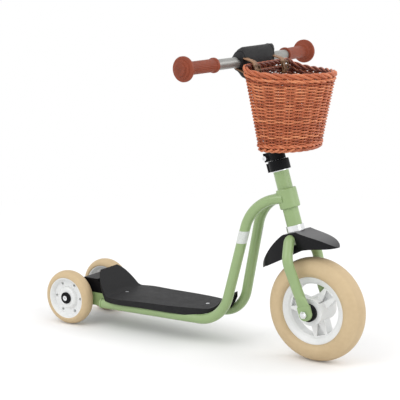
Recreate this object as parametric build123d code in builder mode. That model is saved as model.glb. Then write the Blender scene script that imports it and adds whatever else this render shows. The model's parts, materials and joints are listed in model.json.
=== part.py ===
"""A child's three-wheeled kick scooter with a wicker basket, built as the real one is put together.

Millimetres. +X is forward, +Y is the rider's left, +Z is up. The origin is on the ground, under the
middle of the scooter's length and width. The steering head leans back, and everything that steers is
set out along that leaning axis: a height h on it is measured from the front axle's level.
"""

from build123d import *
import math
import os

os.makedirs("parts", exist_ok=True)

# ---- driving dimensions ----------------------------------------------------------------------
wheelbase = 552.0
front_wheel_radius = 100.0
rear_wheel_radius = 56.0
rear_track = 124.0            # between the middles of the rear wheels
steering_lean = 17.0          # degrees back from upright
fork_offset = 3.0             # front axle ahead of the steering axis, level

running_clearance = 0.05      # radial, a shaft in its hole
free_gap = 0.3                # between pieces that pass each other
press_gap = 0.0               # pieces pressed or welded together

# frame
frame_tube_radius = 10.0
frame_tube_wall = 1.6
frame_rear_half_width = 50.0  # tube middle, at the rear bracket
frame_front_half_width = 37.5 # tube middle, at the lower corner
frame_neck_half_width = 20.0  # tube middle, at the upper corner
frame_head_half_width = 12.5  # tube middle, where it meets the head tube
frame_low_height = 51.0       # tube middle above the ground, at the rear
frame_low_rise = 2.0          # how much higher the tube is at the lower corner
frame_joint_height = 306.0    # tube middle above the ground, at the head tube
lower_corner_back = 124.4     # lower corner behind the head joint
upper_corner_back = 64.3      # upper corner behind the head joint
lower_bend_radius = 66.0
upper_straight = 1.9          # straight end of each tube, before the head joint
bracket_front = 78.0          # front face of the rear bracket, ahead of the rear axle
bracket_half_height = 14.0
bracket_plate = 3.0
bracket_arm_outside = 44.0    # outer face of each arm, from the middle
bracket_web_half_width = 61.0
reflector_drop = 92.0          # lower edge of the bands below the tubes' upper run
reflector_width = 24.0
reflector_skin = 0.5

# steering head
head_tube_radius = 14.8
head_tube_wall = 1.6
head_tube_length = 105.6
steerer_radius = 11.2
crown_height = 148.6          # top of the fork crown, up the steering axis from the axle's level
mudguard_skin = 2.4
bearing_height = 12.0         # head tube end to the outer face of the bearing cone
lower_cup_radius = 17.5
upper_cup_radius = 17.0
ball_radius = 2.0
ball_count = 16
cover_radius = 20.0
cover_wall = 2.4
steering_angle = 45.0         # degrees each way, set by the stop washer
lug_thickness = 5.4
lug_height = 38.0
clamp_radius = 15.5
clamp_height = 17.0

# fork
fork_tube_radius = 10.0
fork_tube_wall = 1.6
fork_blade_width = 26.0
fork_blade_thickness = 6.0
fork_blade_middle = 44.0      # middle of the flattened end, from the scooter's middle
fork_widest = 56.5            # corner of the leg's route
crown_half_width = 14.0
axle_radius = 4.0

# front wheel
front_tyre_half_width = 25.6
front_rim_edge_radius = 65.0
front_rim_edge_half_width = 18.0
front_rim_seat_radius = 60.0
front_rim_inner_radius = 51.0
front_hub_radius = 26.0
front_hub_half_width = 29.0
front_spoke_count = 3
front_spoke_width = 30.0
front_spoke_first_angle = 48.0
bearing_outer_radius = 11.0
bearing_width = 7.0

# rear wheels
rear_tyre_half_width = 15.6
rear_rim_edge_radius = 43.0
rear_rim_edge_half_width = 13.8
rear_rim_seat_radius = 39.5
rear_boss_radius = 23.5
rear_boss_half_width = 11.5
rear_hole_radius = 3.2
rear_hole_circle = 31.0
rear_hole_count = 6
rear_washer_radius = 12.0

# deck
deck_skin = 4.0
deck_skirt = 3.0
deck_rim = 11.0               # depth of the rim round the heel plate and the lip
deck_skirt_low = 58.0         # lower edge of the skirt above the ground
heel_top_ahead = 55.0         # top of the heel plate, ahead of the rear axle
heel_top_height = 114.0
heel_foot_ahead = 91.0
deck_rear_height = 68.2
deck_front_height = 74.8      # at the corner where it starts to curl up
deck_lip_height = 102.0
deck_lip_back = 127.0         # deck lip behind the head joint
deck_corner_back = 147.0      # corner where the deck curls up, behind the head joint
brace_width = 26.0
screw_radius = 2.5

# handlebar
bar_height = 562.0
bar_sweep = 12.0              # its ends behind its middle
bar_straight = 60.0           # half of the straight run in the middle
bar_bend_radius = 60.0
bar_radius = 10.0
bar_wall = 2.0
bar_half_length = 213.0
stem_radius = 9.5
stem_wall = 1.6
stem_insertion = 110.0
grip_inner_end = 122.0
grip_radius = 12.0
grip_collar_radius = 14.0
grip_flange_radius = 23.0
grip_end = 222.0
pad_half_length = 75.0
pad_top = 30.0                # top of the pad above the bar's middle

# basket
basket_back_gap = 24.0        # flat back ahead of the bar's middle, at the rim
basket_top_half_width = 86.0
basket_bottom_half_width = 80.0
basket_top_depth = 150.0
basket_bottom_depth = 78.0
basket_corner_radius = 14.0
basket_over_bar = 1.0         # rim's back above the bar's middle
basket_rim_drop = 14.0        # from back to front
basket_clamp_gap = 3.5        # under the basket, over the stem clamp
basket_stem_gap = 1.8         # between the stem and the back of the basket's foot
basket_wall = 9.0
basket_floor = 6.0
basket_row_pitch = 4.9        # cane over cane, up the wall
basket_row_groove = 2.6       # depth of the grooves between the canes
basket_border_height = 13.0   # plaited roll under the rim
basket_foot_height = 9.0      # plaited roll round the foot
strap_place = 50.0            # middle of each strap from the scooter's middle
strap_width = 14.0
strap_thickness = 2.2

# ---- derived places --------------------------------------------------------------------------
overall_length = rear_wheel_radius + wheelbase + front_wheel_radius
rear_axle_x = rear_wheel_radius - overall_length / 2
front_axle_x = overall_length / 2 - front_wheel_radius
lean = math.radians(steering_lean)
sides = ((1, "left"), (-1, "right"))


def steering_x(height):
    """X of the steering axis at a height above the ground."""
    return front_axle_x - fork_offset - (height - front_wheel_radius) * math.tan(lean)


def up_axis(height):
    """Distance up the steering axis, from the front axle's level, to a height above the ground."""
    return (height - front_wheel_radius) / math.cos(lean)


def steering_plane(distance):
    """Plane square to the steering axis: its X points forward, its Y left and its Z up the axis."""
    return Plane(
        origin=(
            steering_x(front_wheel_radius) - distance * math.sin(lean),
            0,
            front_wheel_radius + distance * math.cos(lean),
        ),
        x_dir=(math.cos(lean), 0, math.sin(lean)),
        z_dir=(-math.sin(lean), 0, math.cos(lean)),
    )


def wheel_plane(x, y, z):
    """Plane in the middle of a wheel: its X points forward and its Z along the axle to the left."""
    return Plane(origin=(x, y, z), x_dir=(1, 0, 0), z_dir=(0, 1, 0))


def turned(spin, outline, mode=Mode.ADD):
    """Turn an outline of (radius, height) points about the plane's own Z axis."""
    with BuildSketch(Plane(origin=spin.origin, x_dir=spin.x_dir, z_dir=-spin.y_dir)) as section:
        with BuildLine():
            Polyline(*outline, close=True)
        make_face()
    revolve(section.sketch, axis=Axis(spin.origin, spin.z_dir), mode=mode)


def ring(spin, inner, outer, low, high, mode=Mode.ADD):
    """Plain ring, or a disc if the inner radius is 0, between two heights over a plane."""
    turned(spin, [(inner, low), (outer, low), (outer, high), (inner, high)], mode)


def tube_along(points, radii, radius, wall):
    """Round tube along straight runs joined by arcs."""
    with BuildLine() as route:
        FilletPolyline(*points, radius=radii)
    start = Plane(origin=route.line @ 0, z_dir=route.line % 0)
    with BuildSketch(start) as section:
        Circle(radius)
        if wall:
            Circle(radius - wall, mode=Mode.SUBTRACT)
    return section.sketch, route.line


head_joint_x = steering_x(frame_joint_height)
lower_corner_x = head_joint_x - lower_corner_back
upper_corner_x = head_joint_x - upper_corner_back
bracket_face_x = rear_axle_x + bracket_front
head_tube_start = crown_height + mudguard_skin + bearing_height
head_tube_end = head_tube_start + head_tube_length
head_bottom = steering_plane(head_tube_start)
head_top = steering_plane(head_tube_end)
head_bottom_down = Plane(origin=head_bottom.origin, x_dir=head_bottom.x_dir, z_dir=-head_bottom.z_dir)
front_axle = wheel_plane(front_axle_x, 0, front_wheel_radius)


def frame_route(side):
    """Middle line of one frame tube: along the deck, up to the neck and forward to the head tube."""
    behind = 4.0
    return [
        (bracket_face_x - behind, side * frame_rear_half_width, frame_low_height),
        (lower_corner_x, side * frame_front_half_width, frame_low_height + frame_low_rise),
        (upper_corner_x, side * frame_neck_half_width, frame_joint_height),
        (head_joint_x, side * frame_head_half_width, frame_joint_height),
    ]


def bend_radius(before, corner, after, straight):
    """Radius of a bend that leaves a straight end on the run after its corner."""
    run_in = Vector(*corner) - Vector(*before)
    run_out = Vector(*after) - Vector(*corner)
    return (run_out.length - straight) / math.tan(math.radians(run_in.get_angle(run_out) / 2))


upper_bend_radius = bend_radius(*frame_route(1)[1:], upper_straight)
reflector_low = frame_joint_height - reflector_drop
reflector_high = reflector_low + reflector_width


def tube_reach(x):
    """How far the frame tubes' middle line is from the scooter's middle, along the deck."""
    share = (x - bracket_face_x) / (lower_corner_x - bracket_face_x)
    return frame_rear_half_width + (frame_front_half_width - frame_rear_half_width) * share


# ---- head tube -------------------------------------------------------------------------------
head_tube_bore = head_tube_radius - head_tube_wall
with BuildPart() as head_tube:
    ring(head_bottom, head_tube_bore, head_tube_radius, 0, head_tube_length)
head_tube.part.label = "head_tube"
export_step(head_tube.part, "parts/head_tube.step")

# ---- head lug: the flattened tube ends, wrapped round the front and sides of the head tube ----
lug_middle = up_axis(frame_joint_height) - head_tube_start
lug_low = lug_middle - lug_height / 2
lug_open_angle = 55.0         # half of the part left open behind
lug_radius = head_tube_radius + lug_thickness
with BuildPart() as head_lug:
    ring(head_bottom, head_tube_radius + press_gap, lug_radius, lug_low, lug_low + lug_height)
    fillet(
        head_lug.edges().filter_by(GeomType.CIRCLE).filter_by(lambda e: e.radius > lug_radius - 0.1),
        radius=lug_thickness * 0.55,
    )
    with BuildSketch(steering_plane(head_tube_start + lug_low - 1)) as opening:
        with BuildLine():
            reach = 3 * lug_radius
            spread = math.radians(180 - lug_open_angle)
            Polyline(
                (0, 0),
                (reach * math.cos(spread), reach * math.sin(spread)),
                (reach * math.cos(spread), -reach * math.sin(spread)),
                close=True,
            )
        make_face()
    extrude(amount=lug_height + 2, mode=Mode.SUBTRACT)
head_lug.part.label = "head_lug"
export_step(head_lug.part, "parts/head_lug.step")

# ---- frame tubes: each is cut flush at the rear bracket and coped round the head tube ---------
for side, name in sides:
    with BuildPart() as frame_tube:
        section, route = tube_along(
            frame_route(side), (lower_bend_radius, upper_bend_radius), frame_tube_radius, frame_tube_wall
        )
        sweep(section, path=route)
        split(bisect_by=Plane(origin=(bracket_face_x, 0, 0), z_dir=(1, 0, 0)), keep=Keep.TOP)
        ring(head_bottom, 0, head_tube_radius, 0, head_tube_length, Mode.SUBTRACT)
        add(head_lug.part, mode=Mode.SUBTRACT)
        split(bisect_by=Plane(origin=(head_joint_x, 0, frame_joint_height), z_dir=head_top.x_dir), keep=Keep.BOTTOM)
    frame_tube.part.label = f"frame_tube_{name}"
    export_step(frame_tube.part, f"parts/frame_tube_{name}.step")

# ---- rear bracket: folded plate with two arms for the axle and a cross web for the tubes ------
arm_middle = bracket_arm_outside - bracket_plate / 2
bracket_low = rear_wheel_radius - bracket_half_height
axle_end_radius = 8.0
with BuildPart() as rear_bracket:
    for side, name in sides:
        with BuildSketch(Plane(origin=(0, side * arm_middle, 0), x_dir=(1, 0, 0), z_dir=(0, -1, 0))):
            with BuildLine():
                rear_end = rear_axle_x - bracket_half_height
                low = bracket_low
                high = rear_wheel_radius + bracket_half_height - 1
                Polyline(
                    (rear_end, low + 6),
                    (rear_end + 6, low),
                    (bracket_face_x, low),
                    (bracket_face_x, high),
                    (rear_end, high),
                    close=True,
                )
            make_face()
        extrude(amount=bracket_plate / 2, both=True)
    with BuildSketch(Plane(origin=(bracket_face_x - bracket_plate, 0, 0), x_dir=(0, 1, 0), z_dir=(1, 0, 0))):
        with Locations((0, frame_low_height)):
            RectangleRounded(2 * bracket_web_half_width, 2 * frame_tube_radius, frame_tube_radius * 0.9)
    extrude(amount=bracket_plate)
    ring(wheel_plane(rear_axle_x, 0, rear_wheel_radius), 0, axle_radius + press_gap,
         -bracket_arm_outside - 1, bracket_arm_outside + 1, Mode.SUBTRACT)
rear_bracket.part.label = "rear_bracket"
export_step(rear_bracket.part, "parts/rear_bracket.step")

# ---- reflective bands round the frame's uprights ----------------------------------------------
def sleeve(side):
    """A thin strip of film round the outer half of one upright, between two levels."""
    lower_corner, upper_corner = (Vector(*point) for point in frame_route(side)[1:3])
    outer_half = Plane(origin=lower_corner, z_dir=(upper_corner - lower_corner).cross(Vector(side, 0, 0)))
    section, route = tube_along(
        frame_route(side), (lower_bend_radius, upper_bend_radius),
        frame_tube_radius + reflector_skin, reflector_skin
    )
    with BuildPart(mode=Mode.PRIVATE) as film:
        sweep(section, path=route)
        split(bisect_by=Plane.XY.offset(reflector_low), keep=Keep.TOP)
        split(bisect_by=Plane.XY.offset(reflector_high), keep=Keep.BOTTOM)
        split(bisect_by=outer_half, keep=Keep.TOP)
    return film.part


bands = [sleeve(side) for side, name in sides]
with BuildPart() as reflector_bands:
    add(bands)
reflector_bands.part.label = "reflector_bands"
export_step(reflector_bands.part, "parts/reflector_bands.step")

# ---- headset: pressed cups, loose balls and cones ---------------------------------------------
ball_pitch = steerer_radius + ball_radius + 0.25
ball_level = bearing_height - 4.2     # ball middles, out from the head tube's end
ball_groove = ball_radius + 0.1


def ball_track(spin):
    """Cut the ring-shaped groove that the balls run in."""
    with BuildSketch(Plane(origin=spin.origin, x_dir=spin.x_dir, z_dir=-spin.y_dir)) as groove:
        with Locations((ball_pitch, ball_level)):
            Circle(ball_groove)
    revolve(groove.sketch, axis=Axis(spin.origin, spin.z_dir), mode=Mode.SUBTRACT)


def cup_on(spin, flange_radius):
    """Bearing cup: a spigot pressed into the head tube and a flange that holds the balls."""
    bore = steerer_radius + 0.7
    spigot = head_tube_bore - press_gap
    turned(spin, [
        (bore, -8), (spigot, -8), (spigot, 0), (flange_radius, 0), (flange_radius, bearing_height - 1.2),
        (ball_pitch + 2.4, bearing_height - 1.2), (ball_pitch + 2.4, ball_level + 0.8),
        (ball_pitch + 1.2, ball_level - ball_radius - 0.2), (bore, ball_level - ball_radius - 0.2),
    ])
    ball_track(spin)


def cone_on(spin, top):
    """Bearing cone, fixed on the steerer."""
    turned(spin, [
        (steerer_radius, bearing_height - 4.5), (ball_pitch, bearing_height - 3),
        (ball_pitch + 1.8, bearing_height - 1.6), (ball_pitch + 1.8, top), (steerer_radius, top),
    ])
    ball_track(spin)


def balls_on(spin):
    """Ring of loose steel balls."""
    with Locations(spin.offset(ball_level)):
        with PolarLocations(ball_pitch, ball_count):
            Sphere(ball_radius)


with BuildPart() as lower_headset_cup:
    cup_on(head_bottom_down, lower_cup_radius)
lower_headset_cup.part.label = "lower_headset_cup"
export_step(lower_headset_cup.part, "parts/lower_headset_cup.step")

with BuildPart() as lower_headset_balls:
    balls_on(head_bottom_down)
lower_headset_balls.part.label = "lower_headset_balls"
export_step(lower_headset_balls.part, "parts/lower_headset_balls.step")

with BuildPart() as lower_headset_cone:
    cone_on(head_bottom_down, bearing_height)
lower_headset_cone.part.label = "lower_headset_cone"
export_step(lower_headset_cone.part, "parts/lower_headset_cone.step")

with BuildPart() as upper_headset_cup:
    cup_on(head_top, upper_cup_radius)
upper_headset_cup.part.label = "upper_headset_cup"
export_step(upper_headset_cup.part, "parts/upper_headset_cup.step")

with BuildPart() as upper_headset_balls:
    balls_on(head_top)
upper_headset_balls.part.label = "upper_headset_balls"
export_step(upper_headset_balls.part, "parts/upper_headset_balls.step")

upper_cone_top = bearing_height + 1.5
with BuildPart() as upper_headset_cone:
    cone_on(head_top, upper_cone_top)
upper_headset_cone.part.label = "upper_headset_cone"
export_step(upper_headset_cone.part, "parts/upper_headset_cone.step")

# ---- steering stop: a tabbed washer under the locknut, turning between two ribs in the cover --
stop_thickness = 2.0
stop_tab_half_angle = 11.0
stop_tab_radius = cover_radius - cover_wall - 0.6
nut_thickness = 3.0
nut_across_flats = 25.0
stop_low = upper_cone_top
nut_low = stop_low + stop_thickness
nut_high = nut_low + nut_thickness


def sector(half_angle, radius):
    """Wedge of a circle, opening towards the back of the scooter, as sketch points."""
    spread = math.radians(180 - half_angle)
    far = radius / math.cos(math.radians(half_angle) / 2)
    middle = math.radians(180 - half_angle / 2)
    return [
        (0, 0),
        (radius * math.cos(spread), radius * math.sin(spread)),
        (far * math.cos(middle), far * math.sin(middle)),
        (-radius, 0),
        (far * math.cos(middle), -far * math.sin(middle)),
        (radius * math.cos(spread), -radius * math.sin(spread)),
    ]


with BuildPart() as steering_stop_washer:
    with BuildSketch(head_top.offset(stop_low)):
        with BuildLine():
            Polyline(*sector(stop_tab_half_angle, 2 * stop_tab_radius), close=True)
        make_face()
        Circle(stop_tab_radius, mode=Mode.INTERSECT)
        Circle(steerer_radius + 2.6)
        Circle(steerer_radius, mode=Mode.SUBTRACT)
    extrude(amount=stop_thickness)
steering_stop_washer.part.label = "steering_stop_washer"
export_step(steering_stop_washer.part, "parts/steering_stop_washer.step")

with BuildPart() as headset_locknut:
    with BuildSketch(head_top.offset(nut_low)):
        RegularPolygon(nut_across_flats / 2, 6, major_radius=False)
        Circle(steerer_radius, mode=Mode.SUBTRACT)
    extrude(amount=nut_thickness)
headset_locknut.part.label = "headset_locknut"
export_step(headset_locknut.part, "parts/headset_locknut.step")

cover_low = 1.4
cover_top = nut_high + 0.5 + cover_wall
with BuildPart() as headset_cover:
    ring(head_top, 0, cover_radius, cover_low, cover_top)
    with BuildSketch(head_top.offset(cover_low)):
        with Locations((-cover_radius, 0)):
            RectangleRounded(9, 17, 3)
    extrude(amount=cover_top - cover_low - 3)
    fillet(headset_cover.faces().sort_by(Axis(head_top.origin, head_top.z_dir))[-1].edges(), radius=1.5)
    ring(head_top, 0, upper_cup_radius + press_gap, 0, bearing_height - 1.2, Mode.SUBTRACT)
    ring(head_top, 0, cover_radius - cover_wall, bearing_height - 1.2, cover_top - cover_wall, Mode.SUBTRACT)
    ring(head_top, 0, steerer_radius + free_gap, 0, cover_top + 1, Mode.SUBTRACT)
    with BuildSketch(head_top.offset(stop_low + free_gap)):
        Circle(cover_radius - cover_wall)
        Circle(nut_across_flats / 2 / math.cos(math.radians(30)) + 0.4, mode=Mode.SUBTRACT)
        with BuildLine():
            clear_angle = steering_angle + stop_tab_half_angle + 1.0
            Polyline(*sector(clear_angle, 3 * cover_radius), close=True)
        make_face(mode=Mode.SUBTRACT)
    extrude(amount=cover_top - cover_wall - stop_low - free_gap)
headset_cover.part.label = "headset_cover"
export_step(headset_cover.part, "parts/headset_cover.step")

# ---- fork: steerer, crown and two legs with flattened ends ------------------------------------
clamp_low = cover_top + free_gap
clamp_top = clamp_low + clamp_height
steerer_bore = stem_radius + running_clearance
crown_depth = 26.0
crown_low = crown_height - 2 * fork_tube_radius - 2.0
steerer_top = head_tube_end + clamp_top - 1.0
with BuildPart() as steerer:
    ring(steering_plane(0), steerer_bore, steerer_radius, crown_low, steerer_top)
    with BuildSketch(steering_plane(steerer_top - clamp_height - 2)):
        with Locations((-steerer_radius, 0)):
            Rectangle(2 * steerer_radius - 8, 3)
    extrude(amount=clamp_height + 3, mode=Mode.SUBTRACT)
steerer.part.label = "steerer"
export_step(steerer.part, "parts/steerer.step")

with BuildPart() as fork_crown:
    with BuildSketch(steering_plane(crown_low)):
        RectangleRounded(crown_depth, 2 * crown_half_width, 5)
        Circle(steerer_radius, mode=Mode.SUBTRACT)
    extrude(amount=crown_height - crown_low)
fork_crown.part.label = "fork_crown"
export_step(fork_crown.part, "parts/fork_crown.step")

fork_face = Plane(origin=steering_plane(0).origin, x_dir=(0, 1, 0), z_dir=steering_plane(0).x_dir)
axle_ahead = fork_offset * math.cos(lean)
axle_over = -fork_offset * math.sin(lean)
leg_top = crown_height - fork_tube_radius
blade_top = 14.0
tube_foot = 34.0
for side, name in sides:
    with BuildPart() as fork_leg:
        with BuildLine(fork_face) as leg_route:
            FilletPolyline(
                (side * crown_half_width, leg_top),
                (side * 32, leg_top),
                (side * fork_widest, 104),
                (side * (fork_blade_middle + 1), tube_foot + 6),
                (side * fork_blade_middle, tube_foot),
                radius=(12, 34, 30),
            )
        with BuildSketch(Plane(origin=leg_route.line @ 0, z_dir=leg_route.line % 0)):
            Circle(fork_tube_radius)
            Circle(fork_tube_radius - fork_tube_wall, mode=Mode.SUBTRACT)
        sweep(path=leg_route.line)
        foot = Plane(origin=leg_route.line @ 1, x_dir=steering_plane(0).x_dir, z_dir=leg_route.line % 1)
        blade = Plane(
            origin=steering_plane(blade_top).origin
            + steering_plane(0).x_dir * axle_ahead + Vector(0, side * fork_blade_middle, 0),
            x_dir=foot.x_dir,
            z_dir=-steering_plane(0).z_dir,
        )
        with BuildSketch(foot):
            Circle(fork_tube_radius)
        with BuildSketch(blade):
            Ellipse(fork_blade_width / 2, fork_blade_thickness / 2)
        loft()
        side_face = Plane(
            origin=steering_plane(0).origin + Vector(0, side * fork_blade_middle, 0),
            x_dir=foot.x_dir,
            z_dir=(0, -1, 0),
        )
        with BuildSketch(side_face):
            with Locations((axle_ahead, (blade_top + axle_over) / 2)):
                Rectangle(fork_blade_width, blade_top - axle_over)
            with Locations((axle_ahead, axle_over)):
                Circle(fork_blade_width / 2)
                Circle(axle_radius + press_gap, mode=Mode.SUBTRACT)
        extrude(amount=fork_blade_thickness / 2, both=True)
    fork_leg.part.label = f"fork_leg_{name}"
    export_step(fork_leg.part, f"parts/fork_leg_{name}.step")

# ---- front mudguard: a thin moulded saddle clamped between the crown and the lower bearing ----
mudguard_half_width = 28.0
mudguard_front = 93.0         # tip ahead of the steering axis, at the top
mudguard_rear = -72.0
mudguard_top = head_tube_start - bearing_height


def mudguard_form(inset):
    """Solid under the mudguard's skin: its side outline within its plan outline."""
    foot = steering_plane(mudguard_top).origin
    x, z = foot.X, foot.Z - inset
    with BuildPart(mode=Mode.PRIVATE) as form:
        with BuildSketch(Plane.XZ):
            with BuildLine():
                seat = crown_depth / 2 + 1.5
                top = Line((x - seat, z - seat * math.tan(lean)), (x + seat, z + seat * math.tan(lean)))
                front = Spline(top @ 1, (x + 44, z - 2), (x + 72, z - 9), (x + mudguard_front, z - 20 + inset))
                under = Spline(front @ 1, (x + 68, z - 23), (x + 42, z - 26), (x + 12, z - 36))
                wing = Line(under @ 1, (x + mudguard_rear + 4, z - 78 + inset))
                tip = Line(wing @ 1, (x + mudguard_rear, z - 74 + inset))
                Spline(tip @ 1, (x - 52, z - 44), (x - 30, z - 18), top @ 0)
            make_face()
        extrude(amount=mudguard_half_width + 5, both=True)
        with BuildSketch(Plane.XY.offset(z - 100)):
            with BuildLine():
                half = mudguard_half_width - inset
                left = Spline(
                    (x + mudguard_rear - 1 + inset, 0), (x - 56, half * 0.62), (x - 24, half * 0.9), (x + 16, half),
                    (x + 54, half * 0.92), (x + mudguard_front - 10, half * 0.55), (x + mudguard_front - inset, 0),
                )
                mirror(left, about=Plane.XZ)
            make_face()
        extrude(amount=200, mode=Mode.INTERSECT)
    return form.part


with BuildPart() as front_mudguard:
    add(mudguard_form(0))
    add(mudguard_form(mudguard_skin), mode=Mode.SUBTRACT)
    ring(steering_plane(0), 0, steerer_radius + free_gap, crown_low, head_tube_end, Mode.SUBTRACT)
    with BuildSketch(Plane(origin=steering_plane(0).origin, x_dir=steering_plane(0).x_dir, z_dir=(0, -1, 0))):
        notch_depth = 40.0
        with Locations((0, leg_top - notch_depth / 2)):
            Rectangle(2 * (fork_tube_radius + free_gap), notch_depth)
        with Locations((0, leg_top)):
            Circle(fork_tube_radius + free_gap)
    extrude(amount=2 * mudguard_half_width, both=True, mode=Mode.SUBTRACT)
front_mudguard.part.label = "front_mudguard"
export_step(front_mudguard.part, "parts/front_mudguard.step")

# ---- front wheel: solid tyre, three-spoked moulded rim, two ball bearings ---------------------
front_hub_bearing = front_hub_half_width - bearing_width
with BuildPart() as front_tyre:
    with BuildSketch(Plane(origin=front_axle.origin)):
        lip = (front_rim_edge_radius + 0.2, front_rim_edge_half_width + 0.8)
        crown_rise = front_wheel_radius * 0.247
        side_radius = front_wheel_radius - crown_rise
        with BuildLine():
            crown = ThreePointArc(
                (side_radius, -front_tyre_half_width),
                (front_wheel_radius, 0),
                (side_radius, front_tyre_half_width),
            )
            outer_wall = TangentArc(crown @ 1, lip, tangent=(-1, 0))
            Polyline(
                outer_wall @ 1,
                (front_rim_edge_radius, front_rim_edge_half_width - 1.5),
                (front_rim_seat_radius, front_rim_edge_half_width - 5),
                (front_rim_seat_radius, 5 - front_rim_edge_half_width),
                (front_rim_edge_radius, 1.5 - front_rim_edge_half_width),
                (lip[0], -lip[1]),
            )
            TangentArc(crown @ 0, (lip[0], -lip[1]), tangent=(-1, 0))
        make_face()
    revolve(axis=Axis(front_axle.origin, front_axle.z_dir))
front_tyre.part.label = "front_tyre"
export_step(front_tyre.part, "parts/front_tyre.step")

front_spoke_half_depth = 11.0
with BuildPart() as front_rim:
    turned(front_axle, [
        (front_rim_inner_radius, -10), (front_rim_inner_radius, 10),
        (front_rim_inner_radius + 3.5, 14), (front_rim_edge_radius - 2.5, front_rim_edge_half_width),
        (front_rim_edge_radius, front_rim_edge_half_width), (front_rim_edge_radius, front_rim_edge_half_width - 1.5),
        (front_rim_seat_radius, front_rim_edge_half_width - 5), (front_rim_seat_radius, 5 - front_rim_edge_half_width),
        (front_rim_edge_radius, 1.5 - front_rim_edge_half_width), (front_rim_edge_radius, -front_rim_edge_half_width),
        (front_rim_edge_radius - 2.5, -front_rim_edge_half_width), (front_rim_inner_radius + 3.5, -14),
    ])
    ring(front_axle, 0, front_hub_radius, -front_hub_half_width, front_hub_half_width)
    spoke_angles = [front_spoke_first_angle + n * 360 / front_spoke_count for n in range(front_spoke_count)]
    with BuildSketch(Plane(origin=front_axle.origin, x_dir=(1, 0, 0), z_dir=(0, -1, 0))):
        for angle in spoke_angles:
            with Locations(Rotation(0, 0, angle)):
                with Locations(((front_hub_radius + front_rim_inner_radius) / 2, 0)):
                    Rectangle(front_rim_inner_radius - front_hub_radius + 14, front_spoke_width)
        Circle(front_rim_inner_radius + 3, mode=Mode.INTERSECT)
    extrude(amount=front_spoke_half_depth, both=True)
    for facing in (1, -1):
        pocket_floor = 3.0
        face = Plane(origin=front_axle.origin, x_dir=(1, 0, 0), z_dir=(0, -1, 0)).offset(facing * pocket_floor)
        with BuildSketch(face):
            for angle in spoke_angles:
                with Locations(Rotation(0, 0, angle)):
                    with Locations((front_rim_inner_radius - 2, 0)):
                        Triangle(a=front_spoke_width * 0.62, b=28, c=28, rotation=90, align=(Align.CENTER, Align.MIN))
        extrude(amount=facing * 2 * front_spoke_half_depth, mode=Mode.SUBTRACT)
    ring(front_axle, 0, bearing_outer_radius, front_hub_bearing, front_hub_half_width + 1, Mode.SUBTRACT)
    ring(front_axle, 0, bearing_outer_radius, -front_hub_half_width - 1, -front_hub_bearing, Mode.SUBTRACT)
    ring(front_axle, 0, bearing_outer_radius - 2, -front_hub_bearing, front_hub_bearing, Mode.SUBTRACT)
front_rim.part.label = "front_rim"
export_step(front_rim.part, "parts/front_rim.step")


def bearing_pair(plane, outer_face):
    """Two ball bearings, inner and outer races in one, with their outer faces at +/- outer_face."""
    for facing in (1, -1):
        ring(plane, axle_radius + running_clearance, bearing_outer_radius,
             facing * (outer_face - bearing_width), facing * outer_face)
        for face in (outer_face - 0.6, outer_face - bearing_width - 1):
            ring(plane, axle_radius + 2.4, bearing_outer_radius - 2,
                 facing * face, facing * (face + 1.6), Mode.SUBTRACT)


with BuildPart() as front_bearings:
    bearing_pair(front_axle, front_hub_half_width)
front_bearings.part.label = "front_bearings"
export_step(front_bearings.part, "parts/front_bearings.step")

sleeve_radius = axle_radius + 2.4
with BuildPart() as front_hub_sleeve:
    ring(front_axle, axle_radius + running_clearance, sleeve_radius, -front_hub_bearing, front_hub_bearing)
front_hub_sleeve.part.label = "front_hub_sleeve"
export_step(front_hub_sleeve.part, "parts/front_hub_sleeve.step")

# ---- front axle: a bolt through both blades, with a black spacer each side and nuts -----------
blade_inside = fork_blade_middle - fork_blade_thickness / 2
blade_outside = fork_blade_middle + fork_blade_thickness / 2
axle_nut_height = 6.5
with BuildPart() as front_axle_rod:
    ring(front_axle, 0, axle_radius, -blade_outside - axle_nut_height + 1, blade_outside + axle_nut_height - 1)
front_axle_rod.part.label = "front_axle"
export_step(front_axle_rod.part, "parts/front_axle.step")

with BuildPart() as front_axle_spacers:
    for facing in (1, -1):
        turned(front_axle, [
            (axle_radius, facing * front_hub_half_width), (sleeve_radius, facing * front_hub_half_width),
            (sleeve_radius, facing * (front_hub_half_width + 1)), (17, facing * (front_hub_half_width + 1)),
            (17, facing * (front_hub_half_width + 7)), (12, facing * blade_inside),
            (axle_radius, facing * blade_inside),
        ])
front_axle_spacers.part.label = "front_axle_spacers"
export_step(front_axle_spacers.part, "parts/front_axle_spacers.step")

with BuildPart() as front_axle_nuts:
    for facing in (1, -1):
        with BuildSketch(front_axle.offset(facing * blade_outside)):
            RegularPolygon(6.5, 6, major_radius=False)
        extrude(amount=facing * axle_nut_height)
        turned(front_axle, [
            (0, facing * (blade_outside + axle_nut_height)), (5.8, facing * (blade_outside + axle_nut_height)),
            (4.6, facing * (blade_outside + axle_nut_height + 2.6)), (0, facing * (blade_outside + axle_nut_height + 4)),
        ])
    ring(front_axle, 0, axle_radius, -blade_outside - axle_nut_height + 1,
         blade_outside + axle_nut_height - 1, Mode.SUBTRACT)
front_axle_nuts.part.label = "front_axle_nuts"
export_step(front_axle_nuts.part, "parts/front_axle_nuts.step")

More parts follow.
